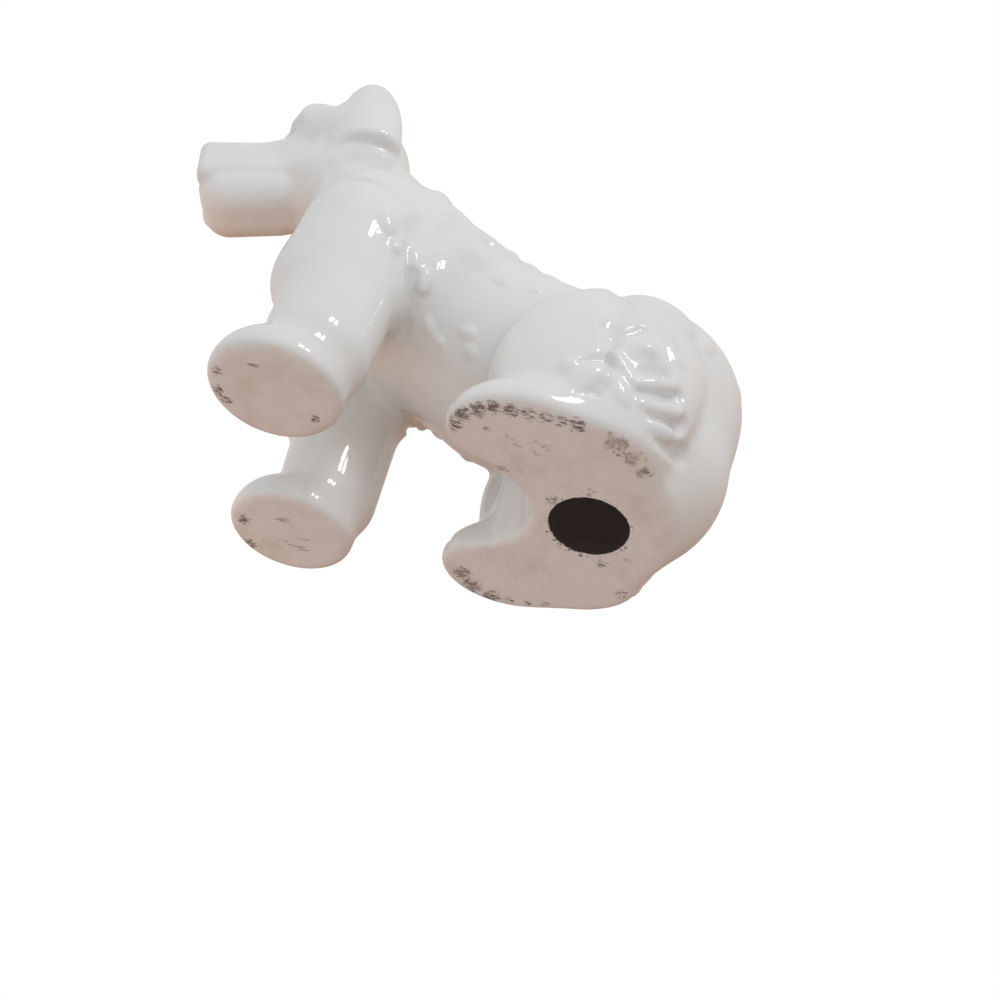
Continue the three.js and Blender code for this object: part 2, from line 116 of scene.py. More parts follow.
class TrunkSizes(bpy.types.PropertyGroup):
    """Balls along the back and neck, and the fuller coat on breast, throat, withers and elbows."""
    rump: place("Rump", "Middle of the rump", 0, -3.5, 42.5)
    rump_radius: length("Rump radius", "Radius of the rump", 29.3)
    seat: place("Seat", "Middle of the seat under the rump", 0, -5.2, 22.5)
    seat_radius: length("Seat radius", "Radius of the seat", 27)
    loin: place("Loin", "Middle of the loin", 0, 28.5, 51.5)
    loin_radius: length("Loin radius", "Radius of the loin", 26.5)
    ribs: place("Ribs", "Middle of the ribs", 0, 58, 70.5)
    ribs_radius: length("Rib radius", "Radius of the ribs", 27)
    chest: place("Chest", "Middle of the chest", 0, 72.5, 84)
    chest_radius: length("Chest radius", "Radius of the chest", 25.5)
    breast: place("Breast", "Middle of the rounded front below the chest", 0, 81.5, 70)
    breast_radii: radii("Breast half sizes", "Half sizes of the breast", 34, 11.5, 26)
    bib: place("Bib", "Middle of the coat down the front of the neck", 0, 83.5, 95)
    bib_radii: radii("Bib half sizes", "Half sizes of that coat", 20, 11.5, 24)
    withers: place("Withers", "Middle of the coat on the sides of the neck", 0, 78, 87)
    withers_radii: radii("Withers half sizes", "Half sizes of that coat", 25, 15, 19)
    elbow: place("Elbow", "Middle of the fuller coat behind the left foreleg", 20, 60, 58)
    elbow_radii: radii("Elbow half sizes", "Half sizes of that coat", 9, 9, 11)
    neck_base: place("Neck base", "Lower end of the neck's middle line", 0, 75, 91)
    neck_base_radius: length("Neck base radius", "Radius of the neck at the chest", 22)
    neck_top: place("Neck top", "Upper end of the neck's middle line", 0, 94, 121)
    neck_top_radius: length("Neck top radius", "Radius of the neck at the head", 15.5)
    neck_seam: length("Neck seam", "Where the head casting is luted on, along the neck", 20.75)
    collar_top: place("Collar top", "Upper end of the coat from the shoulder to the jaw", 6, 95, 117)
    collar_radius: length("Collar radius", "Radius of that coat at the jaw", 13)


class HindSizes(bpy.types.PropertyGroup):
    """Thighs, hind paws and the base they share."""
    haunch: place("Thigh", "Middle of the left thigh", 23.5, 5, 26)
    haunch_radii: radii("Thigh half sizes", "Half sizes of a thigh", 15, 26.5, 33.5)
    pad: place("Base", "Middle of the mass that joins the thighs", 0, 4, 8)
    pad_radii: radii("Base half sizes", "Half sizes of that mass", 34, 24, 26)
    paw: place("Hind paw", "Middle of the left hind paw", 24.5, 18.5, 3)
    paw_radii: radii("Hind paw half sizes", "Half sizes of a hind paw", 13.5, 18.75, 11.5)
    notch: place("Notch", "Middle of the gap between the hind paws", 0, 33, -2)
    notch_radii: radii("Notch half sizes", "Half sizes of the gap", 14.5, 18.5, 22)


class ForelegSizes(bpy.types.PropertyGroup):
    """Forelegs and front feet."""
    shoulder: place("Shoulder", "Middle of the left shoulder", 22, 76.5, 64)
    shoulder_radius: length("Shoulder radius", "Radius of a foreleg at the shoulder", 15.5)
    pastern: place("Pastern", "Lower end of the left foreleg's middle line", 25.7, 73.6, 16)
    pastern_radius: length("Pastern radius", "Radius of a foreleg above the foot", 13.8)
    forearm: place("Forearm", "Middle of the fuller front of the left foreleg", 23, 81, 47.5)
    forearm_radii: radii("Forearm half sizes", "Half sizes of that front", 13, 14.5, 17)
    foot: place("Foot", "Middle of the left front foot", 25.2, 79, 3.2)
    foot_radii: radii("Foot half sizes", "Half sizes of a front foot", 15.4, 17, 12.2)
    seam: length("Leg seam", "Height at which the foreleg castings are luted on", 38.75)


class HeadSizes(bpy.types.PropertyGroup):
    """Skull, cheeks, muzzle, beard, bridge, brows and temples."""
    skull: place("Skull", "Middle of the skull", 0, 101, 138)
    skull_radii: radii("Skull half sizes", "Half sizes of the skull", 18, 17.5, 15.5)
    cheek: place("Cheeks", "Middle of the cheeks", 0, 107, 121.5)
    cheek_radii: radii("Cheek half sizes", "Half sizes of the cheeks", 15.5, 14, 14)
    muzzle: place("Muzzle", "Middle of the muzzle", 0, 128.8, 119.4)
    muzzle_half: radii("Muzzle half sizes", "Half sizes of the muzzle", 11.5, 17.8, 9.5)
    muzzle_rounding: length("Muzzle rounding", "Rounding of the muzzle's edges", 3.4)
    muzzle_pitch: angle("Muzzle pitch", "How far the muzzle points down", 16)
    beard: place("Beard", "Middle of the beard under the muzzle", 0, 127.8, 112)
    beard_half: radii("Beard half sizes", "Half sizes of the beard", 10.6, 15.8, 11)
    beard_rounding: length("Beard rounding", "Rounding of the beard's edges", 8)
    beard_pitch: angle("Beard pitch", "How far the beard points down", 20)
    bridge: place("Bridge", "Middle of the slope from the muzzle to the brows", 0, 117, 130.5)
    bridge_radii: radii("Bridge half sizes", "Half sizes of that slope", 11.5, 12, 9.5)
    bridge_pitch: angle("Bridge pitch", "How far that slope points down", 30)
    brow: place("Brow", "Middle of the left brow", 9.5, 114.2, 140.4)
    brow_radii: radii("Brow half sizes", "Half sizes of a brow", 9.3, 8.6, 10.4)
    temple: place("Temple", "Middle of the left temple", 11, 106, 136.5)
    temple_radii: radii("Temple half sizes", "Half sizes of a temple", 10, 9, 10)


class EarSizes(bpy.types.PropertyGroup):
    """Drop ears."""
    middle: place("Ear", "Middle of the left ear", 17.3, 94.6, 131.4)
    half: radii("Ear half sizes", "Half sizes of an ear", 7, 10.5, 30)
    pitch: angle("Ear pitch", "How far the top of an ear leans ahead", 13)
    drop: length("Ear drop", "How far below its middle an ear ends", 8.5)


class TailSizes(bpy.types.PropertyGroup):
    """Docked tail that lies up the back of the rump."""
    root: place("Tail root", "Lower end of the tail's middle line", 0, -25.4, 55.8)
    root_radius: length("Tail root radius", "Radius of the tail at its root", 7.5)
    tip: place("Tail tip", "Upper end of the tail's middle line", 0, -18.4, 71.8)
    tip_radius: length("Tail tip radius", "Radius of the tail at its tip", 6.5)


class FinishColours(bpy.types.PropertyGroup):
    """Colours of glaze, clay and wear, and the painted shade of the hollow."""
    glaze: colour("Glaze", "White glaze", 0.80, 0.80, 0.785)
    pooled: colour("Pooled glaze", "Glaze where it lies thicker", 0.72, 0.735, 0.73)
    clay: colour("Bare clay", "Unglazed clay of the flats", 0.80, 0.765, 0.745)
    clay_stain: colour("Stained clay", "Patches of the flats that have darkened", 0.70, 0.62, 0.55)
    scuff: colour("Scuffs", "Dark scuffs along the edges of the flats", 0.11, 0.075, 0.055)
    smudge: colour("Smudges", "Olive brown smudges on the base", 0.33, 0.26, 0.19)
    # Hollow is near-black painted shade for the dark inside the castings and the vent hole, far darker than
    # the fired clay there; haze is a faint painted glow laid over it.
    hollow: colour("Hollow", "Fired clay inside the castings", 0.012, 0.009, 0.008)
    haze: colour("Haze", "Haze that a lens lays over the dark of the hollow", 0.021, 0.0145, 0.013)
    slip: colour("Slip", "Slip that joins the castings", 0.58, 0.49, 0.41)


class StageSettings(bpy.types.PropertyGroup):
    """Floor, backdrop and the light of the room."""
    floor: colour("Floor", "Pale floor", 0.82, 0.82, 0.82)
    backdrop: colour("Backdrop", "White backdrop", 1.0, 1.0, 1.0)
    room_bright: colour("Bright side", "Light of the room on its bright side", 0.68, 0.705, 0.725)
    room_middle: colour("Between", "Light of the room between its sides", 0.69, 0.65, 0.635)
    room_dim: colour("Dim side", "Warm light of the room on its dim side", 0.34, 0.16, 0.07)
    floor_size: length("Floor size", "Side of the floor", 4000)


class SchnauzerSettings(bpy.types.PropertyGroup):
    """All that can be set on the ornament."""
    casting: PointerProperty(type=CastingSizes)
    trunk: PointerProperty(type=TrunkSizes)
    hind: PointerProperty(type=HindSizes)
    foreleg: PointerProperty(type=ForelegSizes)
    head: PointerProperty(type=HeadSizes)
    ear: PointerProperty(type=EarSizes)
    tail: PointerProperty(type=TailSizes)
    finish: PointerProperty(type=FinishColours)
    stage: PointerProperty(type=StageSettings)


# Fillets where the forms run into each other
TRUNK_FILLET = 4 * MM
BREAST_FILLET = 6 * MM
NECK_FILLET = 10 * MM
COLLAR_FILLET = 9 * MM
ELBOW_FILLET = 5 * MM
FOREARM_FILLET = 4 * MM
BIB_FILLET = 10 * MM
HAUNCH_FILLET = 3 * MM
PAD_FILLET = 5 * MM
PAW_FILLET = 4 * MM
LEG_FILLET = 9 * MM
FOOT_FILLET = 4 * MM
MUZZLE_FILLET = 5 * MM
LIP_FILLET = 1.2 * MM
BRIDGE_FILLET = 6 * MM
BROW_FILLET = 4 * MM
HEAD_FILLET = 8 * MM
EAR_FILLET = 4 * MM
EAR_TIP_ROUNDING = 2.5 * MM
TAIL_FILLET = 3.5 * MM
NOTCH_ROUNDING = 5 * MM
HOLLOW_ROUNDING = 1 * MM
VENT_ROUNDING = 0.8 * MM

# Coat: how far from the surface it is worked out, and how thick and soft its locks and strokes are
COAT_DEPTH = 6 * MM
LOCK_FILLET = 1.6 * MM
LOCK_FLATNESS = 0.4
LOCK_DEPTH = 1.2
GROOVE_ROUNDING = 1.2 * MM
STROKE_SOFTNESS = 0.7
STROKE_REACH = 1.7

# How a casting is joined to the next one: it laps over it, and sinks into it past the level share of the lap
LAP = 2.2 * MM
LAP_LIFT = 0.04 * MM
LAP_LEVEL = 0.6
LAP_SINK = 3
SPIGOT = 2 * MM
SPIGOT_SLOPE = 0.5


# Forms

def norm(vectors):
    """Lengths of vectors."""
    return np.sqrt((vectors * vectors).sum(-1))


def unit(vector):
    """Vectors scaled to a length of 1."""
    return vector / np.maximum(norm(vector), TINY)[..., None]


def tipped(offset, pitch):
    """Offsets turned about the X axis, so that a form measured with them points down by an angle."""
    cosine, sine = math.cos(pitch), math.sin(pitch)
    ahead = cosine * offset[..., 1] + sine * offset[..., 2]
    up = cosine * offset[..., 2] - sine * offset[..., 1]
    return np.stack((offset[..., 0], ahead, up), -1)


def ellipsoid_level(shares, half):
    """Distance to an ellipsoid, about: level times (level - 1) over the level's slope, where the level is
    the length of the offset measured in half sizes."""
    least = 1e-6
    level = norm(shares) + least
    slope = norm(shares / half) + least / half.min()
    return level * (level - 1) / slope


def ellipsoid(points, centre, half, pitch=0.0):
    """Distance to an ellipsoid that points down by an angle."""
    half = np.array(half)
    return ellipsoid_level(tipped(points - centre, pitch) / half, half)


def ball_cone(points, start, end, start_radius, end_radius):
    """Distance to two balls and the cone that touches both."""
    span = norm(end - start)
    along = (end - start) / span
    offset = points - start
    ahead = offset @ along
    aside = np.sqrt(np.maximum((offset * offset).sum(-1) - ahead * ahead, 0))
    sine = (start_radius - end_radius) / span
    cosine = math.sqrt(1 - sine * sine)
    level = ahead * cosine - aside * sine
    cone = aside * cosine + ahead * sine - start_radius
    first = np.hypot(ahead, aside) - start_radius
    last = np.hypot(ahead - span, aside) - end_radius
    return np.where(level <= 0, first, np.where(level >= span * cosine, last, cone))


def rounded_block(points, centre, half, rounding, pitch):
    """Distance to a block with rounded edges that points down by an angle."""
    beyond = np.abs(tipped(points - centre, pitch)) - np.array(half) + rounding
    return norm(np.maximum(beyond, 0)) + np.minimum(beyond.max(-1), 0) - rounding


def join(one, other, fillet):
    """Union of two forms: the nearer of two distances, less a quarter of the fillet in the crease."""
    near = np.maximum(fillet - np.abs(one - other), 0) / fillet
    return np.minimum(one, other) - near * near * fillet / 4


def carve(form, tool, rounding):
    """A form with another cut out of it, and the edge rounded."""
    return -join(-form, tool, rounding)


def slope_of(form, points):
    """Slope of a form, from its differences along the three axes."""
    step = 0.05 * MM
    shifts = np.eye(3) * step
    return np.stack([form(points + shift) - form(points - shift) for shift in shifts], -1) / (2 * step)


def lapped(beyond):
    """How far a casting stands over the one that it laps: a little at first, below it at the lap's end."""
    past_level = (beyond / LAP - LAP_LEVEL) / (1 - LAP_LEVEL)
    return LAP_LIFT * (1 - LAP_SINK * np.clip(past_level, 0, 1))


def spot(given):
    """Point in the frame of a place given from the vent hole."""
    across, ahead, up = given
    return np.array((across, VENT_Y - ahead, up))


def folded(points):
    """Points of both sides brought to the left side."""
    return np.stack((np.abs(points[..., 0]), points[..., 1], points[..., 2]), -1)


# Coat, in millimetres

class Lock(NamedTuple):
    """Lock of the coat: a lump of clay at a place, lying so many degrees down from straight back."""
    across: float
    ahead: float
    up: float
    length: float
    width: float
    lift: float
    lie: float
    tilt: float = 6


class Stroke(NamedTuple):
    """Stroke of a round tool along places on the coat. It raises a ridge, or cuts a groove where its height
    is negative, and the share says how deep and wide it is where it starts."""
    radius: float
    height: float
    places: tuple
    share: float = 0.6


def row(first, last, count):
    """Locks in even steps from a first one to a last place, every other one aside, shorter and lower."""
    aside = 1.5
    shorter = 2
    lower = 0.25
    locks = []
    for step in range(count):
        share = step / (count - 1)
        turn = step % 2
        across = first.across + share * (last[0] - first.across) + aside * turn
        ahead = first.ahead + share * (last[1] - first.ahead)
        up = first.up + share * (last[2] - first.up)
        locks.append(first._replace(across=across, ahead=ahead, up=up, length=first.length - shorter * turn,
                                    lift=first.lift * (1 - lower * turn)))
    return locks


BACK_LOCKS = (
    *row(Lock(11, 70, 112, 14, 5, 0.45, 35), (12, 16, 76), 6),
    *row(Lock(3, 74, 116, 14, 5, 0.45, 35), (3, 12, 80), 7),
    Lock(20, 63, 100, 8, 7, 1.2, 40),
    Lock(22, 54.5, 91, 10, 7, 0.9, 45),
    Lock(24, 43, 76.5, 7, 6, 1.4, 30),
    Lock(23, 37, 74, 7, 6, 1.3, 30),
    Lock(23.5, 30.5, 68.5, 7, 6, 1.1, 30),
    Lock(24, 24, 65, 7, 5, 0.6, 30),
)
SIDE_LOCKS = (
    Lock(36.4, 68, 60, 9, 4.5, 1.0, 60),
    Lock(32.5, 64.5, 54, 4, 3, 0.9, 80),
    Lock(26, 44, 67, 24, 15, 1.1, 40),
    Lock(17.9, 52, 43, 5, 3, 0.6, 70),
    Lock(16.5, 48.3, 39, 4, 2.6, 0.5, 30),
    Lock(21.5, 40.6, 39, 5, 3, 0.6, 20),
    Lock(19.1, 38.7, 34.6, 4, 2.6, 0.5, 60),
    Lock(25, 56, 52, 7, 3.4, 1.1, 75),
    Lock(27.1, 35.2, 55.7, 4.5, 3, 0.6, 25),
    Lock(26.7, 44, 64.4, 3.5, 2.4, 0.4, 25),
    Lock(27.5, 26, 53.7, 4, 2.5, 0.4, 20),
)
REAR_LOCKS = (
    Lock(37.3, 6.5, 12.5, 11, 7, 1.0, -45),
    Lock(37.4, 11, 15, 5, 4, 0.9, -60),
    Lock(37.5, -4.5, 25.5, 12, 9, 1.3, -20),
    Lock(37.5, -6, 25, 5, 3.5, 1.8, 20),
    Lock(36, -1.5, 11, 9, 4, 0.7, 60),
    Lock(31, -8, 51, 24, 18, 1.9, -15),
    Lock(29.5, -14.5, 46.5, 9, 5, 0.6, 110),
    Lock(25.5, -21.5, 48, 9, 5, 0.6, 110),
)
FACE_LOCKS = (
    Lock(0, 146, 124, 7, 12, 0.9, 90, 0),
    Lock(8.6, 121, 134.5, 5, 5, 0.9, 90, 0),
    Lock(6, 122, 142, 9, 4.5, 0.5, 110),
    Lock(11.5, 121, 141, 9, 4.5, 0.5, 100),
    Lock(16, 117, 140, 9, 4.5, 0.4, 90),
)
FRONT_LOCKS = (
    Lock(4, 104, 96, 26, 6, 0.7, 80),
    Lock(11, 101, 88, 24, 6, 0.5, 80),
    Lock(4, 104, 72, 18, 7, 0.7, 85),
    Lock(12, 101, 62, 18, 7, 0.5, 85),
)
LOCKS = BACK_LOCKS + SIDE_LOCKS + REAR_LOCKS + FACE_LOCKS + FRONT_LOCKS

SIDE_STROKES = (
    Stroke(1.4, -1.0, ((13.9, 58.1, 43), (16.8, 58.3, 44.9), (21, 59.5, 47.4), (29, 60.8, 52.4),
                       (31, 62, 57))),
    Stroke(4.5, -1.9, ((24.4, 57.1, 85.3), (28.1, 60, 76.9), (29.7, 60.2, 70), (31, 61, 63)), 0.4),
    Stroke(1.8, -0.8, ((25.2, 44.1, 73.8), (24.9, 47.8, 78.6), (26, 51.2, 78.5), (27.2, 54.6, 76.1))),
    Stroke(2.2, -1.0, ((21, 57.3, 45), (25, 57.5, 48.5), (27, 58, 51))),
)
REAR_STROKES = (
    Stroke(2.0, -1.5, ((36.7, 3.9, 8.8), (37.2, 2.4, 12.2), (37.9, 2.1, 17.3), (38.3, 2.3, 21.6),
                       (38.4, 2.8, 26.2), (38.3, 4.3, 31.5)), 0.8),
    Stroke(5, -1.7, ((38.3, 3.5, 31.5), (37.6, 3, 37.2), (36, 2.5, 43), (30, 2, 54), (24, 2, 59)), 0.35),
    Stroke(1.6, -1.2, ((36.6, 7.5, 6.7), (36.7, 3.9, 8.8)), 0.3),
    Stroke(1.7, -1.3, ((37.7, 8.7, 16.1), (38, 5.9, 17.6), (38.1, 2.8, 19)), 0.4),
    Stroke(2.2, -1.7, ((37.3, -3.7, 33), (38, -0.9, 29.3), (38.4, 2.1, 26.8)), 0.3),
    Stroke(1.2, 0.8, ((36.1, -5.1, 13), (36.9, -3.3, 15.2), (37.7, -0.9, 18.3), (38.2, 1.5, 21.1)), 0.5),
    Stroke(2.2, 0.6, ((35.5, -8, 37.8), (35.2, -10.1, 34.7), (35.1, -11.4, 29.7), (34.3, -13.3, 27)), 0.6),
    Stroke(2.4, -1.4, ((36.4, -7, 18.6), (35.2, -10.9, 20.3)), 0.7),
    Stroke(2.0, -1.6, ((35.7, -6.2, 12.4), (34.4, -10.4, 13.6), (32.6, -14.9, 17.2)), 0.35),
    Stroke(2.4, -1.8, ((33.1, -9.7, 7.8), (30.8, -13.8, 9), (28.7, -17.1, 11.6)), 0.25),
    Stroke(2.5, -1.5, ((28.8, -12.5, 3.8), (25.3, -15.8, 5.6), (20.9, -18.6, 9.4)), 0.25),
    Stroke(1.8, 1.0, ((36.2, -5.6, 14.4), (35.4, -9.2, 16.4), (33.9, -13, 18)), 0.6),
    Stroke(1.8, 0.9, ((34.6, -7.2, 9.3), (33.2, -10.9, 10.4), (30.9, -15.5, 12.5)), 0.5),
    Stroke(1.8, 0.7, ((31.6, -10.6, 5.5), (29.3, -14.3, 6.9)), 0.7),
)
FACE_STROKES = (
    Stroke(2.4, -0.8, ((6, 123, 134.5), (11.5, 121, 134.5))),
    Stroke(0.8, -0.7, ((0, 146.5, 119.5), (0, 145, 111))),
    Stroke(0.9, -0.5, ((3, 147, 123), (4.4, 146.6, 124.4))),
    Stroke(1.0, -0.6, ((4.5, 144.5, 111), (4.2, 142, 104))),
)
PAW_STROKES = (
    Stroke(1.1, -0.8, ((22, 93.6, 12), (21.5, 95.3, 5))),
    Stroke(1.1, -0.8, ((30, 93.6, 12), (30.5, 95.3, 5))),
    Stroke(1.1, -0.8, ((21, 33.5, 10), (20.5, 36.8, 3))),
    Stroke(1.1, -0.8, ((28.5, 33.2, 10), (29, 36.4, 3))),
)
STROKES = SIDE_STROKES + REAR_STROKES + FACE_STROKES + PAW_STROKES


class ClayLump(NamedTuple):
    """A lock in its place: its middle, its axes along, across and out of the coat, and its half sizes."""
    middle: np.ndarray
    axes: np.ndarray
    half: np.ndarray


class ClayStroke(NamedTuple):
    """A stroke in its place: the tool's middles, its radius at each and whether it adds clay."""
    middles: np.ndarray
    sizes: np.ndarray
    raised: bool


def clay_lump(lock, point, out):
    """A lock at a point of the coat, lying along it with its tip a little raised."""
    lie = math.radians(lock.lie)
    back = np.array((0, math.cos(lie), -math.sin(lie)))
    along = unit(back - (back @ out) * out)
    across = np.cross(out, along)
    tilt = math.radians(lock.tilt)
    raised = along * math.cos(tilt) + out * math.sin(tilt)
    proud = out * math.cos(tilt) - along * math.sin(tilt)
    thickness = max(LOCK_FLATNESS * lock.width, LOCK_DEPTH * lock.lift) * MM
    middle = point + (lock.lift * MM - thickness) * out
    half = np.array((lock.length / 2 * MM, lock.width / 2 * MM, thickness))
    return ClayLump(middle, np.stack((raised, across, proud)), half)


def clay_stroke(stroke, points, outs):
    """A stroke at points of the coat, with the tool's middle as high over it as the stroke needs."""
    shares = np.linspace(stroke.share, 1, len(points))
    sizes = stroke.radius * MM * shares
    heights = stroke.height * MM * shares + (sizes if stroke.height < 0 else -sizes)
    return ClayStroke(points + heights[:, None] * outs, sizes, stroke.height > 0)


class Figure:
    """The whole ornament as forms, worked out from its settings. The bare one in it has no coat, so that it
    is quick to work out where a ray comes near the surface."""

    def __init__(self, settings):
        self.sizes = settings
        trunk = settings.trunk
        self.neck_base = spot(trunk.neck_base)
        self.neck_along = unit(spot(trunk.neck_top) - self.neck_base)
        self.neck_seam = self.neck_base + trunk.neck_seam * self.neck_along
        self.lumps = []
        self.strokes = []
        self.bare = copy.copy(self)
        self.lumps = [clay_lump(*laid) for laid in zip(LOCKS, *self.on_coat([lock[:3] for lock in LOCKS]))]
        ends = np.cumsum([len(stroke.places) for stroke in STROKES])[:-1]
        points, outs = self.on_coat([given for stroke in STROKES for given in stroke.places])
        runs = zip(STROKES, np.split(points, ends), np.split(outs, ends))
        self.strokes = [clay_stroke(*run) for run in runs]

    def trunk(self, points):
        """Trunk and neck: balls along the back joined by cones, with the seat, neck and fuller coat."""
        size = self.sizes.trunk
        leg = self.sizes.foreleg
        form = ball_cone(points, spot(size.rump), spot(size.seat), size.rump_radius, size.seat_radius)
        stations = ((size.rump, size.rump_radius), (size.loin, size.loin_radius),
                    (size.ribs, size.ribs_radius), (size.chest, size.chest_radius))
        for (start, start_radius), (end, end_radius) in zip(stations, stations[1:]):
            cone = ball_cone(points, spot(start), spot(end), start_radius, end_radius)
            form = join(form, cone, TRUNK_FILLET)
        form = join(form, ellipsoid(points, spot(size.breast), size.breast_radii), BREAST_FILLET)
        neck = ball_cone(points, self.neck_base, spot(size.neck_top),
                         size.neck_base_radius, size.neck_top_radius)
        form = join(form, neck, NECK_FILLET)
        collar = ball_cone(points, spot(leg.shoulder), spot(size.collar_top),
                           leg.shoulder_radius, size.collar_radius)
        form = join(form, collar, COLLAR_FILLET)
        form = join(form, ellipsoid(points, spot(size.withers), size.withers_radii), COLLAR_FILLET)
        form = join(form, ellipsoid(points, spot(size.elbow), size.elbow_radii), ELBOW_FILLET)
        return join(form, ellipsoid(points, spot(size.bib), size.bib_radii), BIB_FILLET)

    def cranium(self, points):
        """Skull and cheeks, the part of the head that is hollow."""
        size = self.sizes.head
        skull = ellipsoid(points, spot(size.skull), size.skull_radii)
        cheeks = ellipsoid(points, spot(size.cheek), size.cheek_radii)
        return join(skull, cheeks, HEAD_FILLET)

    def head(self, points):
        """Cranium with muzzle, beard, bridge, temples and brows."""
        size = self.sizes.head
        muzzle = rounded_block(points, spot(size.muzzle), size.muzzle_half,
                               size.muzzle_rounding, size.muzzle_pitch)
        beard = rounded_block(points, spot(size.beard), size.beard_half,
                              size.beard_rounding, size.beard_pitch)
        form = join(self.cranium(points), join(muzzle, beard, LIP_FILLET), MUZZLE_FILLET)
        bridge = ellipsoid(points, spot(size.bridge), size.bridge_radii, size.bridge_pitch)
        form = join(form, bridge, BRIDGE_FILLET)
        form = join(form, ellipsoid(points, spot(size.temple), size.temple_radii), BROW_FILLET)
        return join(form, ellipsoid(points, spot(size.brow), size.brow_radii), BROW_FILLET)

    def hindquarters(self, points, form):
        """A form with the thighs, the base mass and the hind paws joined to it."""
        size = self.sizes.hind
        form = join(form, ellipsoid(points, spot(size.haunch), size.haunch_radii), HAUNCH_FILLET)
        form = join(form, ellipsoid(points, spot(size.pad), size.pad_radii), PAD_FILLET)
        return join(form, ellipsoid(points, spot(size.paw), size.paw_radii), PAW_FILLET)

    def foreleg(self, points):
        """Foreleg from the shoulder down to the foot."""
        size = self.sizes.foreleg
        leg = ball_cone(points, spot(size.pastern), spot(size.shoulder),
                        size.pastern_radius, size.shoulder_radius)
        leg = join(leg, ellipsoid(points, spot(size.forearm), size.forearm_radii), FOREARM_FILLET)
        return join(leg, ellipsoid(points, spot(size.foot), size.foot_radii), FOOT_FILLET)

    def core(self, points):
        """Everything but the ears and tail, on both sides, before the flats are cut."""
        points = folded(points)
        form = self.hindquarters(points, self.trunk(points))
        form = join(form, self.foreleg(points), LEG_FILLET)
        return join(form, self.head(points), HEAD_FILLET)

    def ear(self, points):
        """Both drop ears."""
        size = self.sizes.ear
        offset = tipped(folded(points) - spot(size.middle), size.pitch)
        half = np.array(size.half)
        return carve(ellipsoid_level(offset / half, half), offset[..., 2] + size.drop, EAR_TIP_ROUNDING)

    def tail(self, points):
        """Docked tail."""
        size = self.sizes.tail
        return ball_cone(points, spot(size.root), spot(size.tip), size.root_radius, size.tip_radius)

    def smooth(self, points):
        """Core with the ears and tail joined to it, before its coat."""
        form = join(self.core(points), self.ear(points), EAR_FILLET)
        return join(form, self.tail(points), TAIL_FILLET)

    def on_coat(self, places):
        """Places in millimetres moved onto the smooth figure, and its outward directions there."""
        points = np.array([spot(given) for given in np.array(places) * MM])
        points = settle(self.smooth, points, limit=2 * MM, rounds=12)
        return points, unit(slope_of(self.smooth, points))

    def with_coat(self, points, form):
        """A form with the locks and strokes of the coat, each worked out only near by."""
        form = form.copy()
        band = np.flatnonzero(np.abs(form) < COAT_DEPTH)
        near_points = folded(points[band])
        near_form = form[band]
        for stroke in self.strokes:
            reach = STROKE_REACH * stroke.sizes.max() + LOCK_FILLET
            low = stroke.middles.min(0) - reach
            high = stroke.middles.max(0) + reach
            near = ((near_points > low) & (near_points < high)).all(-1)
            tool = np.full(near.sum(), 1.0)
            spans = zip(stroke.middles, stroke.middles[1:], stroke.sizes, stroke.sizes[1:])
            for span in spans:
                tool = np.minimum(tool, ball_cone(near_points[near], *span))
            shape = join if stroke.raised else carve
            softness = max(LOCK_FILLET if stroke.raised else GROOVE_ROUNDING,
                           STROKE_SOFTNESS * stroke.sizes.max())
            near_form[near] = shape(near_form[near], tool, softness)
        for lump in self.lumps:
            offset = near_points - lump.middle
            near = np.abs(offset).max(-1) < lump.half.max() + LOCK_FILLET
            shares = offset[near] @ lump.axes.T / lump.half
            near_form[near] = join(near_form[near], ellipsoid_level(shares, lump.half), LOCK_FILLET)
        form[band] = near_form
        return form

    def outside(self, points, core=None):
        """Outside of the finished figure, with its coat, the notch and the flats that it stands on."""
        core = self.core(points) if core is None else core
        form = join(core, self.ear(points), EAR_FILLET)
        form = join(form, self.tail(points), TAIL_FILLET)
        form = self.with_coat(points, form)
        form = carve(form, self.notch(points), NOTCH_ROUNDING)
        return carve(form, points[..., 2], self.sizes.casting.edge)

    def notch(self, points):
        """Gap between the hind paws."""
        size = self.sizes.hind
        return ellipsoid(points, spot(size.notch), size.notch_radii)

    def vent(self, points):
        """Round hole through the floor of the base."""
        size = self.sizes.casting
        aside = np.hypot(points[..., 0], points[..., 1] - VENT_Y) - size.vent_diameter / 2
        depth = 3 * size.base_wall
        return np.maximum(aside, points[..., 2] - depth)

    def hollow(self, points):
        """Hollow of the trunk, neck and head, a wall away from the outside, the table and the notch."""
        size = self.sizes.casting
        half = folded(points)
        form = join(self.trunk(half), self.cranium(half), HEAD_FILLET) + size.wall
        form = np.maximum(form, size.base_wall - points[..., 2])
        return np.maximum(form, size.wall - self.notch(points))

    def past_neck(self, points):
        """How far points lie past the neck seam, towards the head."""
        return (points - self.neck_seam) @ self.neck_along

    def leg_axis(self, heights):
        """Middles of the left foreleg at heights: down its line, and on to the middle of the foot."""
        size = self.sizes.foreleg
        line = np.stack((spot(size.foot), spot(size.pastern), spot(size.shoulder)))
        return np.stack([np.interp(heights, line[:, 2], line[:, axis]) for axis in (0, 1)] + [heights], -1)

    def below_leg_seam(self, points):
        """How far points lie below the forelegs' seam, or less than nothing away from the forelegs."""
        size = self.sizes.foreleg
        aside = (folded(points) - self.leg_axis(np.array(size.seam)))[..., :2]
        around = 1.9 * size.pastern_radius
        elsewhere = -1.0
        return np.where(norm(aside) < around, size.seam - points[..., 2], elsewhere)

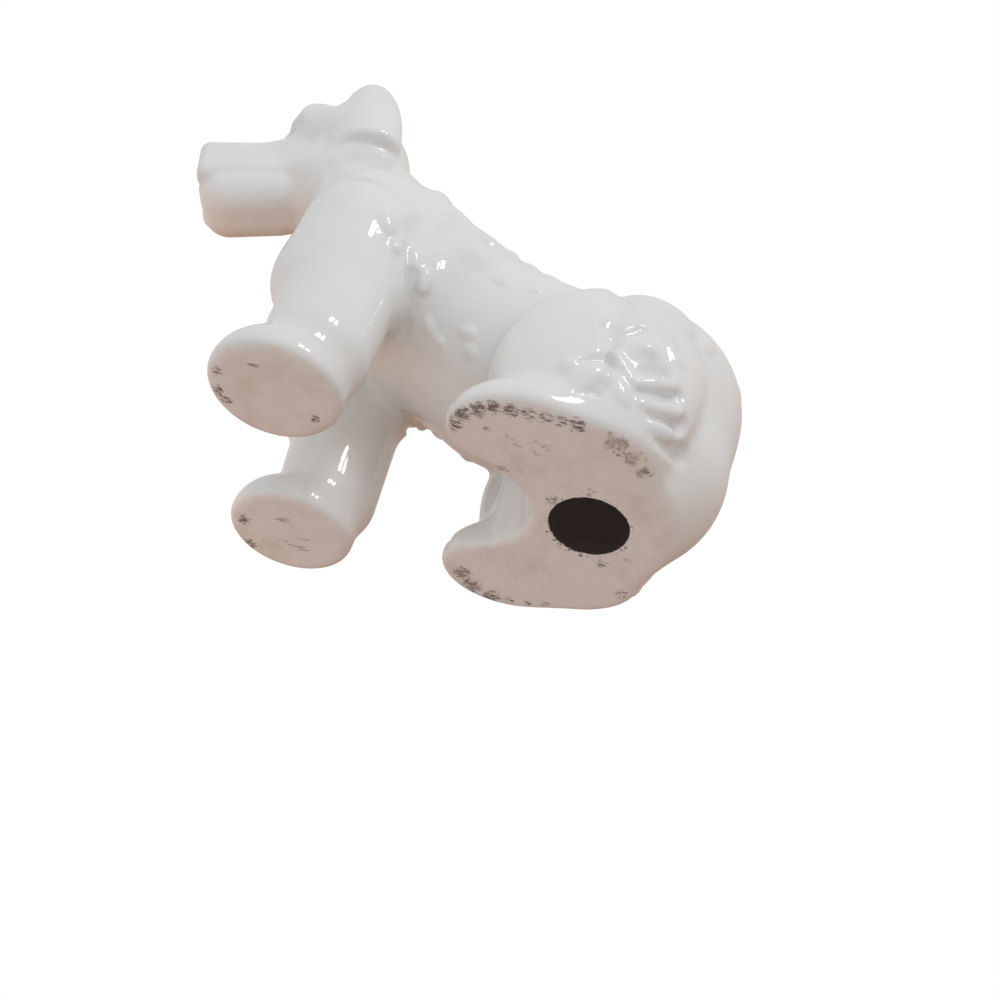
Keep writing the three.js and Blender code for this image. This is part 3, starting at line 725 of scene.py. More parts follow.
    def body_casting(self, points):
        """Body: outside and hollow, stepped in where the head, forelegs and tail lap over it."""
        core = self.core(points)
        neck = self.past_neck(points)
        leg = self.below_leg_seam(points)
        form = self.outside(points, core) + np.maximum(core - self.tail(points), 0)
        form = form + SPIGOT_SLOPE * (np.maximum(neck, 0) + np.maximum(leg, 0))
        form = np.maximum(form, np.maximum(neck, leg) - SPIGOT)
        form = carve(form, self.hollow(points), HOLLOW_ROUNDING)
        return carve(form, self.vent(points), VENT_ROUNDING)

    def head_casting(self, points):
        """Head: outside, stepped in where the ears lap over it."""
        core = self.core(points)
        over = lapped(-self.past_neck(points))
        return self.outside(points, core) - over + np.maximum(core - self.ear(points), 0)

    def leg_casting(self, points):
        """Forelegs: outside."""
        return self.outside(points) - lapped(points[..., 2] - self.sizes.foreleg.seam)

    def ear_casting(self, points):
        """Ears: outside, up to a lap over the head."""
        core = self.core(points)
        beyond = self.ear(points) - core
        return np.maximum(self.outside(points, core) - LAP_LIFT - lapped(beyond), beyond - LAP)

    def tail_casting(self, points):
        """Tail: outside, up to a lap over the body."""
        core = self.core(points)
        beyond = self.tail(points) - core
        return np.maximum(self.outside(points, core) - lapped(beyond), beyond - LAP)


# Meshes

def cast(forms, starts, directions):
    """Points where rays leave a form: each ray goes on by what is left of the distance to the surface, many
    times in the first of the given forms and a few times in the last, which is close to it."""
    longest = 3 * MM
    there = 0.002 * MM
    caution = 0.8
    first_steps = 48
    last_steps = 14
    travel = np.zeros(len(starts))
    for form, steps in zip(forms, (first_steps, last_steps)):
        moving = np.arange(len(starts))
        for _ in range(steps):
            points = starts[moving] + travel[moving, None] * directions[moving]
            step = np.clip(caution * form(points), -longest, longest)
            travel[moving] = np.maximum(travel[moving] - step, 0)
            moving = moving[np.abs(step) > there]
    return starts + travel[:, None] * directions


def rays(middles, ups, alongs, tilts, columns):
    """Rays round a spine: at each of its points a ring of directions across it, tilted along it."""
    turn = np.linspace(0, 2 * math.pi, columns, endpoint=False)[None, :, None]
    sides = np.array((1.0, 0.0, 0.0))
    ring = np.cos(turn) * sides + np.sin(turn) * ups[:, None, :]
    tilt = tilts[:, None, None]
    directions = np.cos(tilt) * ring + np.sin(tilt) * alongs[:, None, :]
    starts = np.broadcast_to(middles[:, None, :], directions.shape)
    return starts.reshape(-1, 3), directions.reshape(-1, 3)


def tube_faces(rows, columns, closed=False):
    """Quads between neighbouring rings of points, and from the last to the first if the tube is closed."""
    row = np.arange(rows if closed else rows - 1)[:, None]
    column = np.arange(columns)[None, :]
    after = (column + 1) % columns
    below = (row + 1) % rows
    here = row * columns
    there = below * columns
    quads = (here + column, here + after, there + after, there + column)
    return np.stack(np.broadcast_arrays(*quads), -1).reshape(-1, 4)


def capped_faces(rows, columns):
    """Quads of a tube and the fans that close it to a first and a last point, numbered after the rings."""
    count = rows * columns
    column = np.arange(columns)
    after = (column + 1) % columns
    last = (rows - 1) * columns
    start = np.stack((np.full(columns, count), after, column), -1)
    end = np.stack((np.full(columns, count + 1), last + column, last + after), -1)
    return tube_faces(rows, columns).tolist() + start.tolist() + end.tolist()


def net(values, origin, cell):
    """Surface where the values of a grid change sign: a point in each crossed cell, at the mean of the
    crossings of the cell's edges, and a quad across each crossed edge between the four cells round it."""
    cell_corners = 8
    inside = values < 0
    counts = np.zeros(np.array(values.shape) - 1, int)
    for corner in np.ndindex(2, 2, 2):
        window = tuple(slice(c, c + n) for c, n in zip(corner, counts.shape))
        counts += inside[window]
    crossed = (counts > 0) & (counts < cell_corners)
    cells = np.argwhere(crossed)
    number = np.full(crossed.shape, -1)
    number[crossed] = np.arange(len(cells))
    total = np.zeros((len(cells), 3))
    hits = np.zeros(len(cells))
    quads = []
    for axis in range(3):
        step = np.eye(3, dtype=int)[axis]
        others = [np.eye(3, dtype=int)[(axis + turn) % 3] for turn in (1, 2)]
        for one, other in np.ndindex(2, 2):
            corner = one * others[0] + other * others[1]
            first = values[tuple((cells + corner).T)]
            second = values[tuple((cells + corner + step).T)]
            cut = (first < 0) != (second < 0)
            share = first[cut] / (first[cut] - second[cut])
            total[cut] += corner + share[:, None] * step
            hits[cut] += 1
        low = np.take(inside, np.arange(inside.shape[axis] - 1), axis)
        high = np.take(inside, np.arange(1, inside.shape[axis]), axis)
        edges = np.argwhere(low != high)
        leaving = low[tuple(edges.T)]
        ring = (0 * step, -others[0], -others[0] - others[1], -others[1])
        quad = np.stack([number[tuple((edges + shift).T)] for shift in ring], -1)
        quads.append(np.where(leaving[:, None], quad, quad[:, ::-1]))
    return origin + cell * (cells + total / hits[:, None]), np.concatenate(quads)


def settle(form, points, limit, rounds):
    """Points moved onto a form's surface along its slope, by a limited step."""
    flattest = 0.05
    for _ in range(rounds):
        slope = slope_of(form, points)
        step = (form(points) / np.maximum((slope * slope).sum(-1), flattest))[:, None] * slope
        points = points - step * np.minimum(1, limit / np.maximum(norm(step), TINY))[:, None]
    return points


def make_mesh(name, points, faces, normals=None, attributes=()):
    """Mesh object from points and faces, with its own normals and attributes."""
    mesh = bpy.data.meshes.new(name)
    mesh.from_pydata(points.tolist(), [], [list(face) for face in faces])
    mesh.validate()
    for label, values in dict(attributes).items():
        layer = mesh.attributes.new(label, "FLOAT", "POINT")
        layer.data.foreach_set("value", np.asarray(values, np.float32))
    mesh.shade_smooth()
    if normals is not None:
        mesh.normals_split_custom_set_from_vertices(normals.tolist())
    mesh.update()
    piece = bpy.data.objects.new(name, mesh)
    bpy.context.scene.collection.objects.link(piece)
    return piece


def outward(points, faces):
    """Faces of a closed surface, all reversed where the volume that they hold comes out negative."""
    first, second, third = (points[[face[k] for face in faces]] for k in range(3))
    volume = (first * np.cross(second, third)).sum()
    quads = [face for face in faces if len(face) == 4]
    if quads:
        corners = [points[[face[k] for face in quads]] for k in (0, 2, 3)]
        volume += (corners[0] * np.cross(corners[1], corners[2])).sum()
    return faces if volume > 0 else [face[::-1] for face in faces]


def flipped(points, faces):
    """The same closed surface on the dog's other side."""
    return points * np.array((-1.0, 1.0, 1.0)), [face[::-1] for face in faces]


def cap_tilts(rows):
    """Tilts of the rings of a round cap, between the level ring before it and its pole."""
    return np.linspace(0, math.pi / 2, rows + 2)[1:-1]


# Pieces

def body_piece(figure):
    """Body casting, drawn as a net over the form's grid, because the haunches, leg stubs, hollow and vent
    hole don't lie on one two-parameter surface. The right half of the grid mirrors the left."""
    cell = figure.sizes.casting.cell
    low, high = (np.array(corner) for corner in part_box("body_shell"))
    margin = 6 * MM
    below = 1.5 * cell
    skin = 0.6 * MM
    across = np.arange(0, high[0] + margin, cell)
    along = np.arange(low[1] - margin, high[1] + margin, cell)
    up = np.arange(low[2] - below, high[2] + margin, cell)
    grid = np.stack(np.meshgrid(across, along, up, indexing="ij"), -1)
    half = figure.body_casting(grid.reshape(-1, 3)).reshape(grid.shape[:-1])
    values = np.concatenate((half[:0:-1], half))
    origin = np.array((-across[-1], along[0], up[0]))
    points, faces = net(values, origin, cell)
    points = settle(figure.body_casting, points, limit=cell / 2, rounds=2)
    normals = unit(slope_of(figure.body_casting, points))
    shown = np.abs(figure.outside(points)) < cell / 2
    normals[shown] = unit(slope_of(figure.outside, points[shown]))
    # The inside attribute marks the hollow's surfaces, which the glaze paints near black as painted shade.
    inside = (figure.hollow(points) < skin).astype(float)
    return make_mesh("body_casting", points, faces, normals, {"inside": inside})


def head_piece(figure):
    """Head casting: rings of rays that swing from the neck seam round a pivot before the throat, run on
    along the muzzle and close over the nose, then the rings of the hollow, back from the seam."""
    size = figure.sizes
    columns, fan_rows, straight_rows, cap_rows, inner_rows = 288, 110, 44, 46, 13
    neck = figure.neck_along
    throat = np.array((0.0, -neck[2], neck[1]))
    pivot_reach = 28 * MM
    seam = figure.neck_seam - LAP * neck
    pivot = seam + pivot_reach * throat
    pitch = size.head.muzzle_pitch
    ahead = np.array((0.0, -math.cos(pitch), -math.sin(pitch)))
    turn = math.acos(neck @ ahead)
    muzzle = spot(size.head.muzzle)

    def fan(angles):
        """Middles, up axes and directions of rings at angles round the pivot."""
        sine, cosine = np.sin(angles)[:, None], np.cos(angles)[:, None]
        ups = sine * neck - cosine * throat
        return pivot + pivot_reach * ups, ups, sine * throat + cosine * neck

    middles, ups, alongs = fan(np.linspace(0, turn, fan_rows))
    past_middle = 0.4 * size.head.muzzle_half[1]
    run = (muzzle - middles[-1]) @ ahead + past_middle
    steps = np.linspace(0, run, straight_rows + 1)[1:, None]
    end = middles[-1] + run * ahead
    rest = straight_rows + cap_rows
    middles = np.concatenate((middles, middles[-1] + steps * ahead, np.tile(end, (cap_rows, 1))))
    ups = np.concatenate((ups, np.tile(ups[-1], (rest, 1))))
    alongs = np.concatenate((alongs, np.tile(ahead, (rest, 1))))
    tilts = np.concatenate((np.zeros(fan_rows + straight_rows), cap_tilts(cap_rows)))
    starts, directions = rays(middles, ups, alongs, tilts, columns)
    forms = (figure.bare.head_casting, figure.head_casting)
    outer = cast(forms, starts, directions)

    inner_turn = 0.55 * turn
    middles, ups, alongs = fan(np.concatenate((np.linspace(0, inner_turn, inner_rows),
                                               np.full(inner_rows, inner_turn))))
    tilts = np.concatenate((np.zeros(inner_rows), cap_tilts(inner_rows)))
    starts, directions = rays(middles, ups, alongs, tilts, columns)
    inner = cast([figure.hollow], starts, directions)

    outer_rings = outer.reshape(-1, columns, 3)[::-1]
    inner_rings = inner.reshape(-1, columns, 3)
    rings = np.concatenate((outer_rings, inner_rings))
    nose = cast(forms, end[None], ahead[None])
    back = cast([figure.hollow], middles[-1:], alongs[-1:])
    points = np.concatenate((rings.reshape(-1, 3), nose, back))
    faces = outward(points, capped_faces(len(rings), columns))
    normals = unit(slope_of(figure.outside, points))
    hollow = slice(len(outer), len(outer) + len(inner))
    normals[hollow] = -unit(slope_of(figure.hollow, points[hollow]))
    normals[-1] = -unit(slope_of(figure.hollow, points[-1:]))[0]
    # The inside attribute marks the hollow's surfaces, which the glaze paints near black as painted shade.
    inside = np.zeros(len(points))
    inside[hollow] = 1
    inside[-1] = 1
    return make_mesh("head_casting", points, faces, normals, {"inside": inside})


def ringed_piece(figure, name, forms, middles, ups, alongs, tilts, columns, poles, flip=False):
    """Closed piece made of rings of rays round a spine, with a point at each end of it."""
    starts, directions = rays(middles, ups, alongs, tilts, columns)
    rings = cast(forms, starts, directions)
    points = np.concatenate((rings, poles))
    faces = outward(points, capped_faces(len(middles), columns))
    if flip:
        points, faces = flipped(points, faces)
    return make_mesh(name, points, faces, unit(slope_of(figure.outside, points)))


def foreleg_piece(figure, name, flip):
    """Foreleg casting: level rings down the leg, which close over the flat under the foot."""
    size = figure.sizes.foreleg
    columns, rows, cap_rows = 160, 62, 44
    over_foot = 2 * MM
    top = size.seam + LAP
    bottom = size.foot[2] + over_foot
    heights = np.concatenate((np.linspace(top, bottom, rows), np.full(cap_rows, bottom)))
    middles = figure.leg_axis(heights)
    count = len(heights)
    ups = np.tile((0.0, 1.0, 0.0), (count, 1))
    alongs = np.tile((0.0, 0.0, -1.0), (count, 1))
    tilts = np.concatenate((np.zeros(rows), cap_tilts(cap_rows)))
    forms = (figure.bare.leg_casting, figure.leg_casting)
    sole = cast(forms, middles[-1:], alongs[-1:])
    poles = np.concatenate((middles[:1], sole))
    return ringed_piece(figure, name, forms, middles, ups, alongs, tilts, columns, poles, flip)


def spindle(start, end, rows, cap_rows):
    """Rings of a spine with a round cap at each end: their middles, directions and tilts."""
    along = unit(end - start)
    shares = np.concatenate((np.zeros(cap_rows), np.linspace(0, 1, rows), np.ones(cap_rows)))
    cap = cap_tilts(cap_rows)
    tilts = np.concatenate((-cap[::-1], np.zeros(rows), cap))
    middles = start + shares[:, None] * (end - start)
    return middles, np.tile(along, (len(shares), 1)), tilts


def ear_piece(figure, name, flip):
    """Ear: rings round a line down its middle, with both ends closed."""
    size = figure.sizes.ear
    columns, rows, cap_rows = 112, 44, 22
    outwards = 0.3 * size.half[0]
    over_end = 0.6 * size.half[0]
    up = np.array((0.0, -math.sin(size.pitch), math.cos(size.pitch)))
    middle = spot(size.middle) + np.array((outwards, 0.0, 0.0))
    top = middle + (size.half[2] - size.half[1]) * up
    bottom = middle + (over_end - size.drop) * up
    middles, alongs, tilts = spindle(top, bottom, rows, cap_rows)
    ups = np.cross(alongs, (-1.0, 0.0, 0.0))
    forms = (figure.bare.ear_casting, figure.ear_casting)
    poles = cast(forms, middles[[0, -1]], np.stack((-alongs[0], alongs[-1])))
    return ringed_piece(figure, name, forms, middles, ups, alongs, tilts, columns, poles, flip)


def tail_piece(figure):
    """Tail: rings round its middle line, with both ends closed."""
    size = figure.sizes.tail
    columns, rows, cap_rows = 112, 34, 24
    backwards = 0.3 * size.tip_radius
    shift = np.array((0.0, backwards, 0.0))
    middles, alongs, tilts = spindle(spot(size.root) + shift, spot(size.tip) + shift, rows, cap_rows)
    ups = np.cross(alongs, (1.0, 0.0, 0.0))
    forms = (figure.bare.tail_casting, figure.tail_casting)
    poles = cast(forms, middles[[0, -1]], np.stack((-alongs[0], alongs[-1])))
    return ringed_piece(figure, "docked_tail", forms, middles, ups, alongs, tilts, columns, poles)


def seam_outline(form, middle, along, columns):
    """Directions round a seam and how far out the form's surface lies along each."""
    ups = np.cross(along, (1.0, 0.0, 0.0))[None]
    starts, directions = rays(middle[None], ups, along[None], np.zeros(1), columns)
    return directions, norm(cast([form], starts, directions) - starts)


def neck_luting_piece(figure):
    """Slip in the neck seam: a round bead carried round the wall, squeezed out a little on the inside."""
    size = figure.sizes.casting
    columns, rows = 144, 16
    directions, reach = seam_outline(figure.outside, figure.neck_seam, figure.neck_along, columns)
    turn = np.linspace(0, 2 * math.pi, rows, endpoint=False)[:, None, None]
    half_width = 0.45 * size.wall
    half_height = 0.4 * size.luting
    inset = 0.62 * size.wall
    from_axis = (reach - inset)[None, :, None] + half_width * np.cos(turn)
    points = figure.neck_seam + from_axis * directions + half_height * np.sin(turn) * figure.neck_along
    points = points.reshape(-1, 3)
    return make_mesh("neck_slip", points, outward(points, tube_faces(rows, columns, True).tolist()))


def leg_luting_piece(figure, name, flip):
    """Slip in a leg seam: a flat round pad whose edge follows the leg, a little inside its surface."""
    size = figure.sizes
    columns, rows = 96, 9
    middle = figure.leg_axis(np.array(size.foreleg.seam))
    up = np.array((0.0, 0.0, 1.0))
    directions, reach = seam_outline(figure.outside, middle, up, columns)
    tilt = np.linspace(-math.pi / 2, math.pi / 2, rows + 2)[1:-1, None, None]
    inset = 0.25 * size.casting.wall
    half_height = 0.4 * size.casting.luting
    squareness = 0.3
    spread = np.cos(tilt) ** squareness * (reach - inset)[None, :, None]
    rings = middle + spread * directions + half_height * np.sin(tilt) * up
    poles = np.stack((middle - half_height * up, middle + half_height * up))
    points = np.concatenate((rings.reshape(-1, 3), poles))
    faces = outward(points, capped_faces(rows, columns))
    if flip:
        points, faces = flipped(points, faces)
    return make_mesh(name, points, faces)


# Materials

class Mark(NamedTuple):
    """Mark on the flats, in millimetres across and ahead of the vent hole, with its radius and strength."""
    across: float
    ahead: float
    radius: float
    strength: float = 1.0


SCUFFS = (
    Mark(26, 35, 5), Mark(30, 33, 5), Mark(32.5, 29, 4.5), Mark(33.6, 25.5, 4), Mark(33.6, 21.5, 4),
    Mark(33.6, 17.5, 4, 0.9), Mark(33.4, 13.5, 4, 0.85), Mark(33.2, 9.5, 4, 0.85), Mark(32.8, 6, 4),
    Mark(26.8, 27, 3, 0.8), Mark(14.5, 22.5, 4, 0.75), Mark(27, -4, 3.5, 0.8), Mark(22, -11, 3, 0.8),
    Mark(-27, 31, 5), Mark(-31.5, 28.5, 5.5), Mark(-34.5, 23, 5), Mark(-34.5, 18, 3, 0.9),
    Mark(-34, 13, 3, 0.8), Mark(-33, 8.5, 3, 0.8), Mark(-23, -11, 4, 0.8), Mark(-9, -11.5, 3, 0.7),
    Mark(7, 9.5, 4, 0.85), Mark(12.3, 1, 4, 0.7), Mark(-12.4, -4.3, 4, 0.75), Mark(29, 92.5, 3),
    Mark(22.6, 93, 3.5), Mark(20, 91, 3), Mark(19.2, 68.6, 2.5), Mark(-23, 91.5, 4), Mark(-33, 91, 4),
)
SMUDGES = (
    Mark(29.5, -3.5, 6), Mark(25.5, -8, 5), Mark(22, -11, 4.5), Mark(23, 13.8, 6, 0.7),
    Mark(24.4, 21, 4, 0.6), Mark(10, 7, 5, 0.5), Mark(31, 28, 7, 0.5), Mark(-33, 28, 7, 0.5),
)
SCRATCHES = (
    Mark(-21, 79, 7), Mark(-28, 77, 8, 0.8), Mark(33.1, 82.3, 5, 0.7), Mark(33, 74, 5, 0.6),
    Mark(20, 20, 9, 0.5),
)

# Heights over the table where the glaze starts and where the clay is bare, and how far that line wanders
GLAZE_LINE = 1.5 * MM
CLAY_LINE = 0.6 * MM
LINE_WANDER = 0.9 * MM

# Finishes: how rough and glossy the glaze and the clay are, and the heights of their ripples and grain
WET_ROUGHNESS = 0.05
SATIN_ROUGHNESS = 0.11
CLAY_ROUGHNESS = 0.85
GLAZE_IOR = 1.52
GLAZE_SPECULAR = 0.5
RIPPLE = 0.06 * MM
GRAIN = 0.08 * MM
GRAIN_SCALE = 2600.0


def add(tree, kind, inputs=(), **options):
    """Node of a kind, with its options set and each input given a value or a link."""
    made = tree.nodes.new(kind)
    for label, value in options.items():
        setattr(made, label, value)
    for label, value in dict(inputs).items():
        if isinstance(value, bpy.types.NodeSocket):
            tree.links.new(value, made.inputs[label])
        else:
            made.inputs[label].default_value = value
    return made


def noise(tree, where, scale, detail=3.0, roughness=0.5, distortion=0.0):
    """Noise of a scale, in waves to the metre."""
    inputs = {"Vector": where, "Scale": scale, "Detail": detail, "Roughness": roughness,
              "Distortion": distortion}
    return add(tree, "ShaderNodeTexNoise", inputs).outputs["Fac"]


def ramp(tree, value, start, end):
    """Smooth step from 0 at the start value to 1 at the end value."""
    inputs = {"Value": value, "From Min": start, "From Max": end}
    return add(tree, "ShaderNodeMapRange", inputs, interpolation_type="SMOOTHSTEP").outputs["Result"]


def times(tree, one, other):
    """Product of two values."""
    return add(tree, "ShaderNodeMath", {0: one, 1: other}, operation="MULTIPLY").outputs["Value"]


def plus(tree, one, other):
    """Sum of two values."""
    return add(tree, "ShaderNodeMath", {0: one, 1: other}, operation="ADD").outputs["Value"]


def larger(tree, one, other):
    """Larger of two values."""
    return add(tree, "ShaderNodeMath", {0: one, 1: other}, operation="MAXIMUM").outputs["Value"]


def mix(tree, share, first, second):
    """Mix of two colours."""
    inputs = {0: share, 6: first, 7: second}
    return add(tree, "ShaderNodeMix", inputs, data_type="RGBA").outputs[2]


def blend(tree, share, first, second):
    """Mix of two values."""
    return add(tree, "ShaderNodeMix", {0: share, 2: first, 3: second}).outputs[0]


def stretched(tree, where, shares):
    """Points with each axis scaled, which stretches a pattern along the axes with small shares."""
    return add(tree, "ShaderNodeVectorMath", {0: where, 1: shares}, operation="MULTIPLY").outputs["Vector"]


def attribute(tree, name):
    """Value of a mesh attribute."""
    return add(tree, "ShaderNodeAttribute", attribute_name=name).outputs["Fac"]


def new_material(name):
    """Material with an empty node tree, and that tree."""
    material = bpy.data.materials.new(name)
    material.use_nodes = True
    material.node_tree.nodes.clear()
    return material, material.node_tree


def nearness(tree, where, marks):
    """How near points of the flats lie to any of the marks: its strength at a mark, 0 past its radius."""
    core = 0.2
    nearest = 0.0
    for mark in marks:
        centre = tuple(spot((mark.across * MM, mark.ahead * MM, 0.0)))
        apart = add(tree, "ShaderNodeVectorMath", {0: where, 1: centre}, operation="DISTANCE")
        near = ramp(tree, apart.outputs["Value"], mark.radius * MM, core * mark.radius * MM)
        nearest = larger(tree, nearest, times(tree, near, mark.strength))
    return nearest


def past_vent(tree, where):
    """How far points lie outside the rim of the vent hole."""
    radius = bpy.context.scene.schnauzer.casting.vent_diameter / 2
    offset = add(tree, "ShaderNodeVectorMath", {0: where, 1: (0.0, -VENT_Y, 0.0)}, operation="ADD")
    level = stretched(tree, offset.outputs["Vector"], (1.0, 1.0, 0.0))
    aside = add(tree, "ShaderNodeVectorMath", {0: level}, operation="LENGTH").outputs["Value"]
    return plus(tree, aside, -radius)


def gathered(tree, pattern, near, pull):
    """A pattern lifted by a pull near some marks, so that it shows mostly there."""
    return plus(tree, pattern, times(tree, near, pull))


def marked(tree, clay, shade, pattern, start, end, share):
    """Clay with up to a share of another shade, where a pattern rises from a start value to an end value."""
    return mix(tree, times(tree, ramp(tree, pattern, start, end), share), clay, shade)


def bare_clay(tree, where, past_rim, colours):
    """Colour of the unglazed flats: cream clay with stains, smudges, scuffs, scratches, and specks round the
    vent hole."""
    clouds = noise(tree, where, scale=85.0, detail=4.0, roughness=0.6)
    clay = mix(tree, ramp(tree, clouds, start=0.45, end=0.8), colours.clay, colours.clay_stain)
    blotches = noise(tree, where, scale=380.0, detail=5.0, roughness=0.65)
    blotches = gathered(tree, blotches, nearness(tree, where, SMUDGES), pull=0.32)
    clay = marked(tree, clay, colours.smudge, blotches, start=0.68, end=0.92, share=0.85)
    lengthwise = stretched(tree, where, (1.0, 0.35, 1.0))
    streaks = noise(tree, lengthwise, scale=1500.0, detail=5.0, roughness=0.75, distortion=0.5)
    streaks = gathered(tree, streaks, nearness(tree, where, SCUFFS), pull=0.3)
    clay = marked(tree, clay, colours.scuff, streaks, start=0.70, end=0.84, share=0.85)
    lengthwise = stretched(tree, where, (1.0, 0.12, 1.0))
    lines = noise(tree, lengthwise, scale=1100.0, detail=3.0, roughness=0.6)
    lines = gathered(tree, lines, nearness(tree, where, SCRATCHES), pull=0.25)
    clay = marked(tree, clay, colours.scuff, lines, start=0.76, end=0.84, share=0.7)
    specks = noise(tree, where, scale=760.0, detail=4.0, roughness=0.6)
    near_vent = ramp(tree, past_rim, start=2.6 * MM, end=0.6 * MM)
    specks = gathered(tree, specks, near_vent, pull=0.2)
    return marked(tree, clay, colours.scuff, specks, start=0.76, end=0.82, share=0.8)


def glaze_material(colours):
    """Glossy white glaze, with bare clay on the flats at the table, and near-black painted shade in the
    hollow and on the vent hole's wall, with a faint painted glow of lens haze over it.
    """
    material, tree = new_material("ornament_glaze")
    where = add(tree, "ShaderNodeTexCoord").outputs["Object"]
    height = add(tree, "ShaderNodeSeparateXYZ", {"Vector": where}).outputs["Z"]
    wander = times(tree, noise(tree, where, scale=180.0), LINE_WANDER)
    bare = ramp(tree, plus(tree, height, wander), GLAZE_LINE, CLAY_LINE)
    past_rim = past_vent(tree, where)
    # Masks of the vent hole's wall and of the hollow's surfaces, where the painted shade and painted glow
    # go.
    in_base = ramp(tree, height, start=12 * MM, end=11 * MM)
    in_vent = times(tree, ramp(tree, past_rim, start=0.25 * MM, end=0.1 * MM), in_base)
    in_hollow = ramp(tree, attribute(tree, "inside"), start=0.3, end=0.7)
    inside = larger(tree, in_hollow, in_vent)
    dull = larger(tree, bare, inside)
    most_pooled = 0.5
    pooling = ramp(tree, noise(tree, where, scale=45.0, detail=2.0), start=0.35, end=0.75)
    glaze = mix(tree, times(tree, pooling, most_pooled), colours.glaze, colours.pooled)
    base = mix(tree, bare, glaze, bare_clay(tree, where, past_rim, colours))
    # Painted shade: the hollow and the vent hole's wall are painted near black.
    base = mix(tree, inside, base, colours.hollow)
    gloss = blend(tree, noise(tree, where, scale=60.0), WET_ROUGHNESS, SATIN_ROUGHNESS)
    ripple = times(tree, noise(tree, where, scale=160.0, detail=2.0), RIPPLE)
    grain = times(tree, times(tree, noise(tree, where, GRAIN_SCALE), dull), GRAIN)
    relief = {"Height": plus(tree, ripple, grain), "Strength": 1.0, "Distance": 1.0}
    bump = add(tree, "ShaderNodeBump", relief)
    # The emission over the hollow is a painted glow of lens haze on its painted shade.
    inputs = {"Base Color": base, "Roughness": blend(tree, dull, gloss, CLAY_ROUGHNESS),
              "Normal": bump.outputs["Normal"], "IOR": GLAZE_IOR,
              "Specular IOR Level": blend(tree, inside, GLAZE_SPECULAR, 0.0),
              "Emission Color": colours.haze, "Emission Strength": inside}
    shader = add(tree, "ShaderNodeBsdfPrincipled", inputs)
    add(tree, "ShaderNodeOutputMaterial", {"Surface": shader.outputs["BSDF"]})
    return material


def slip_material(colours):
    """Dull fired slip, with a fine grain."""
    material, tree = new_material("ornament_slip")
    where = add(tree, "ShaderNodeTexCoord").outputs["Object"]
    clouds = ramp(tree, noise(tree, where, scale=120.0, detail=4.0), start=0.3, end=0.8)
    base = mix(tree, clouds, colours.slip, colours.clay_stain)
    grain = times(tree, noise(tree, where, GRAIN_SCALE), GRAIN)
    bump = add(tree, "ShaderNodeBump", {"Height": grain, "Distance": 1.0})
    inputs = {"Base Color": base, "Roughness": CLAY_ROUGHNESS, "Normal": bump.outputs["Normal"]}
    shader = add(tree, "ShaderNodeBsdfPrincipled", inputs)
    add(tree, "ShaderNodeOutputMaterial", {"Surface": shader.outputs["BSDF"]})
    return material


FINISHES = {"white_glaze": ("ornament_glaze", glaze_material), "bare_clay": ("ornament_slip", slip_material)}


def finish(slot):
    """Material of a slot, made when it is first asked for."""
    name, make = FINISHES[slot]
    return bpy.data.materials.get(name) or make(bpy.context.scene.schnauzer.finish)


def dress(piece, slot, *nodes):
    """Finish of a piece, its slot in the record and the castings that it stands for."""
    piece.data.materials.append(finish(slot))
    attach(piece, "root")
    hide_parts(*nodes)


# Stage

CAMERA_PLACE = Vector((218.7, 65.5, -199.5)) * MM
CAMERA_AIM = Vector((0.1, 32.5, 3.3)) * MM
CAMERA_ROLL = math.radians(16.8)
CAMERA_LENS = 43.3
CAMERA_SENSOR = 36
CAMERA_NEAR = 0.01


class Lamp(NamedTuple):
    """Area lamp: where it stands from the figure's middle and its size, in metres, its power in watts, its
    colour and whether the glaze mirrors it."""
    name: str
    place: tuple
    width: float
    height: float
    power: float
    colour: tuple
    mirrored: bool = True


FIGURE_MIDDLE = Vector((0, 0, 70)) * MM
LAMPS = (
    Lamp("window", (0.56, 0.20, 0.37), 0.08, 0.15, 0.62, (1.0, 1.0, 1.0)),
    Lamp("window_pane", (0.53, 0.30, 0.34), 0.06, 0.15, 0.46, (1.0, 1.0, 1.0)),
    Lamp("warm_bounce", (-0.07, -0.15, -0.10), 0.06, 0.06, 0.035, (1.0, 0.36, 0.07), False),
)

# Direction of the room's bright side, and how far towards it the dim, middle and bright light reach
BRIGHT_SIDE = (0.91, -0.24, 0.34)
DIM_REACH = -0.9
MIDDLE_REACH = -0.1
BRIGHT_REACH = 0.8


def make_camera():
    """Camera at the photograph's place, aimed at the base and rolled."""
    data = bpy.data.cameras.new("camera")
    data.lens = CAMERA_LENS
    data.sensor_width = CAMERA_SENSOR
    data.clip_start = CAMERA_NEAR
    camera = bpy.data.objects.new("camera", data)
    bpy.context.scene.collection.objects.link(camera)
    turn = (CAMERA_AIM - CAMERA_PLACE).to_track_quat("-Z", "Y").to_matrix()
    roll = Matrix.Rotation(CAMERA_ROLL, 3, "Z")
    camera.matrix_world = Matrix.Translation(CAMERA_PLACE) @ (turn @ roll).to_4x4()
    bpy.context.scene.camera = camera


def make_lamps():
    """Soft lamps round the figure, each aimed at its middle and hidden from the camera."""
    for lamp in LAMPS:
        data = bpy.data.lights.new(lamp.name, "AREA")
        data.shape = "RECTANGLE"
        data.size = lamp.width
        data.size_y = lamp.height
        data.energy = lamp.power
        data.color = lamp.colour
        light = bpy.data.objects.new(lamp.name, data)
        bpy.context.scene.collection.objects.link(light)
        light.visible_camera = False
        light.visible_glossy = lamp.mirrored
        light.location = FIGURE_MIDDLE + Vector(lamp.place)
        light.rotation_euler = (-Vector(lamp.place)).to_track_quat("-Z", "Y").to_euler()


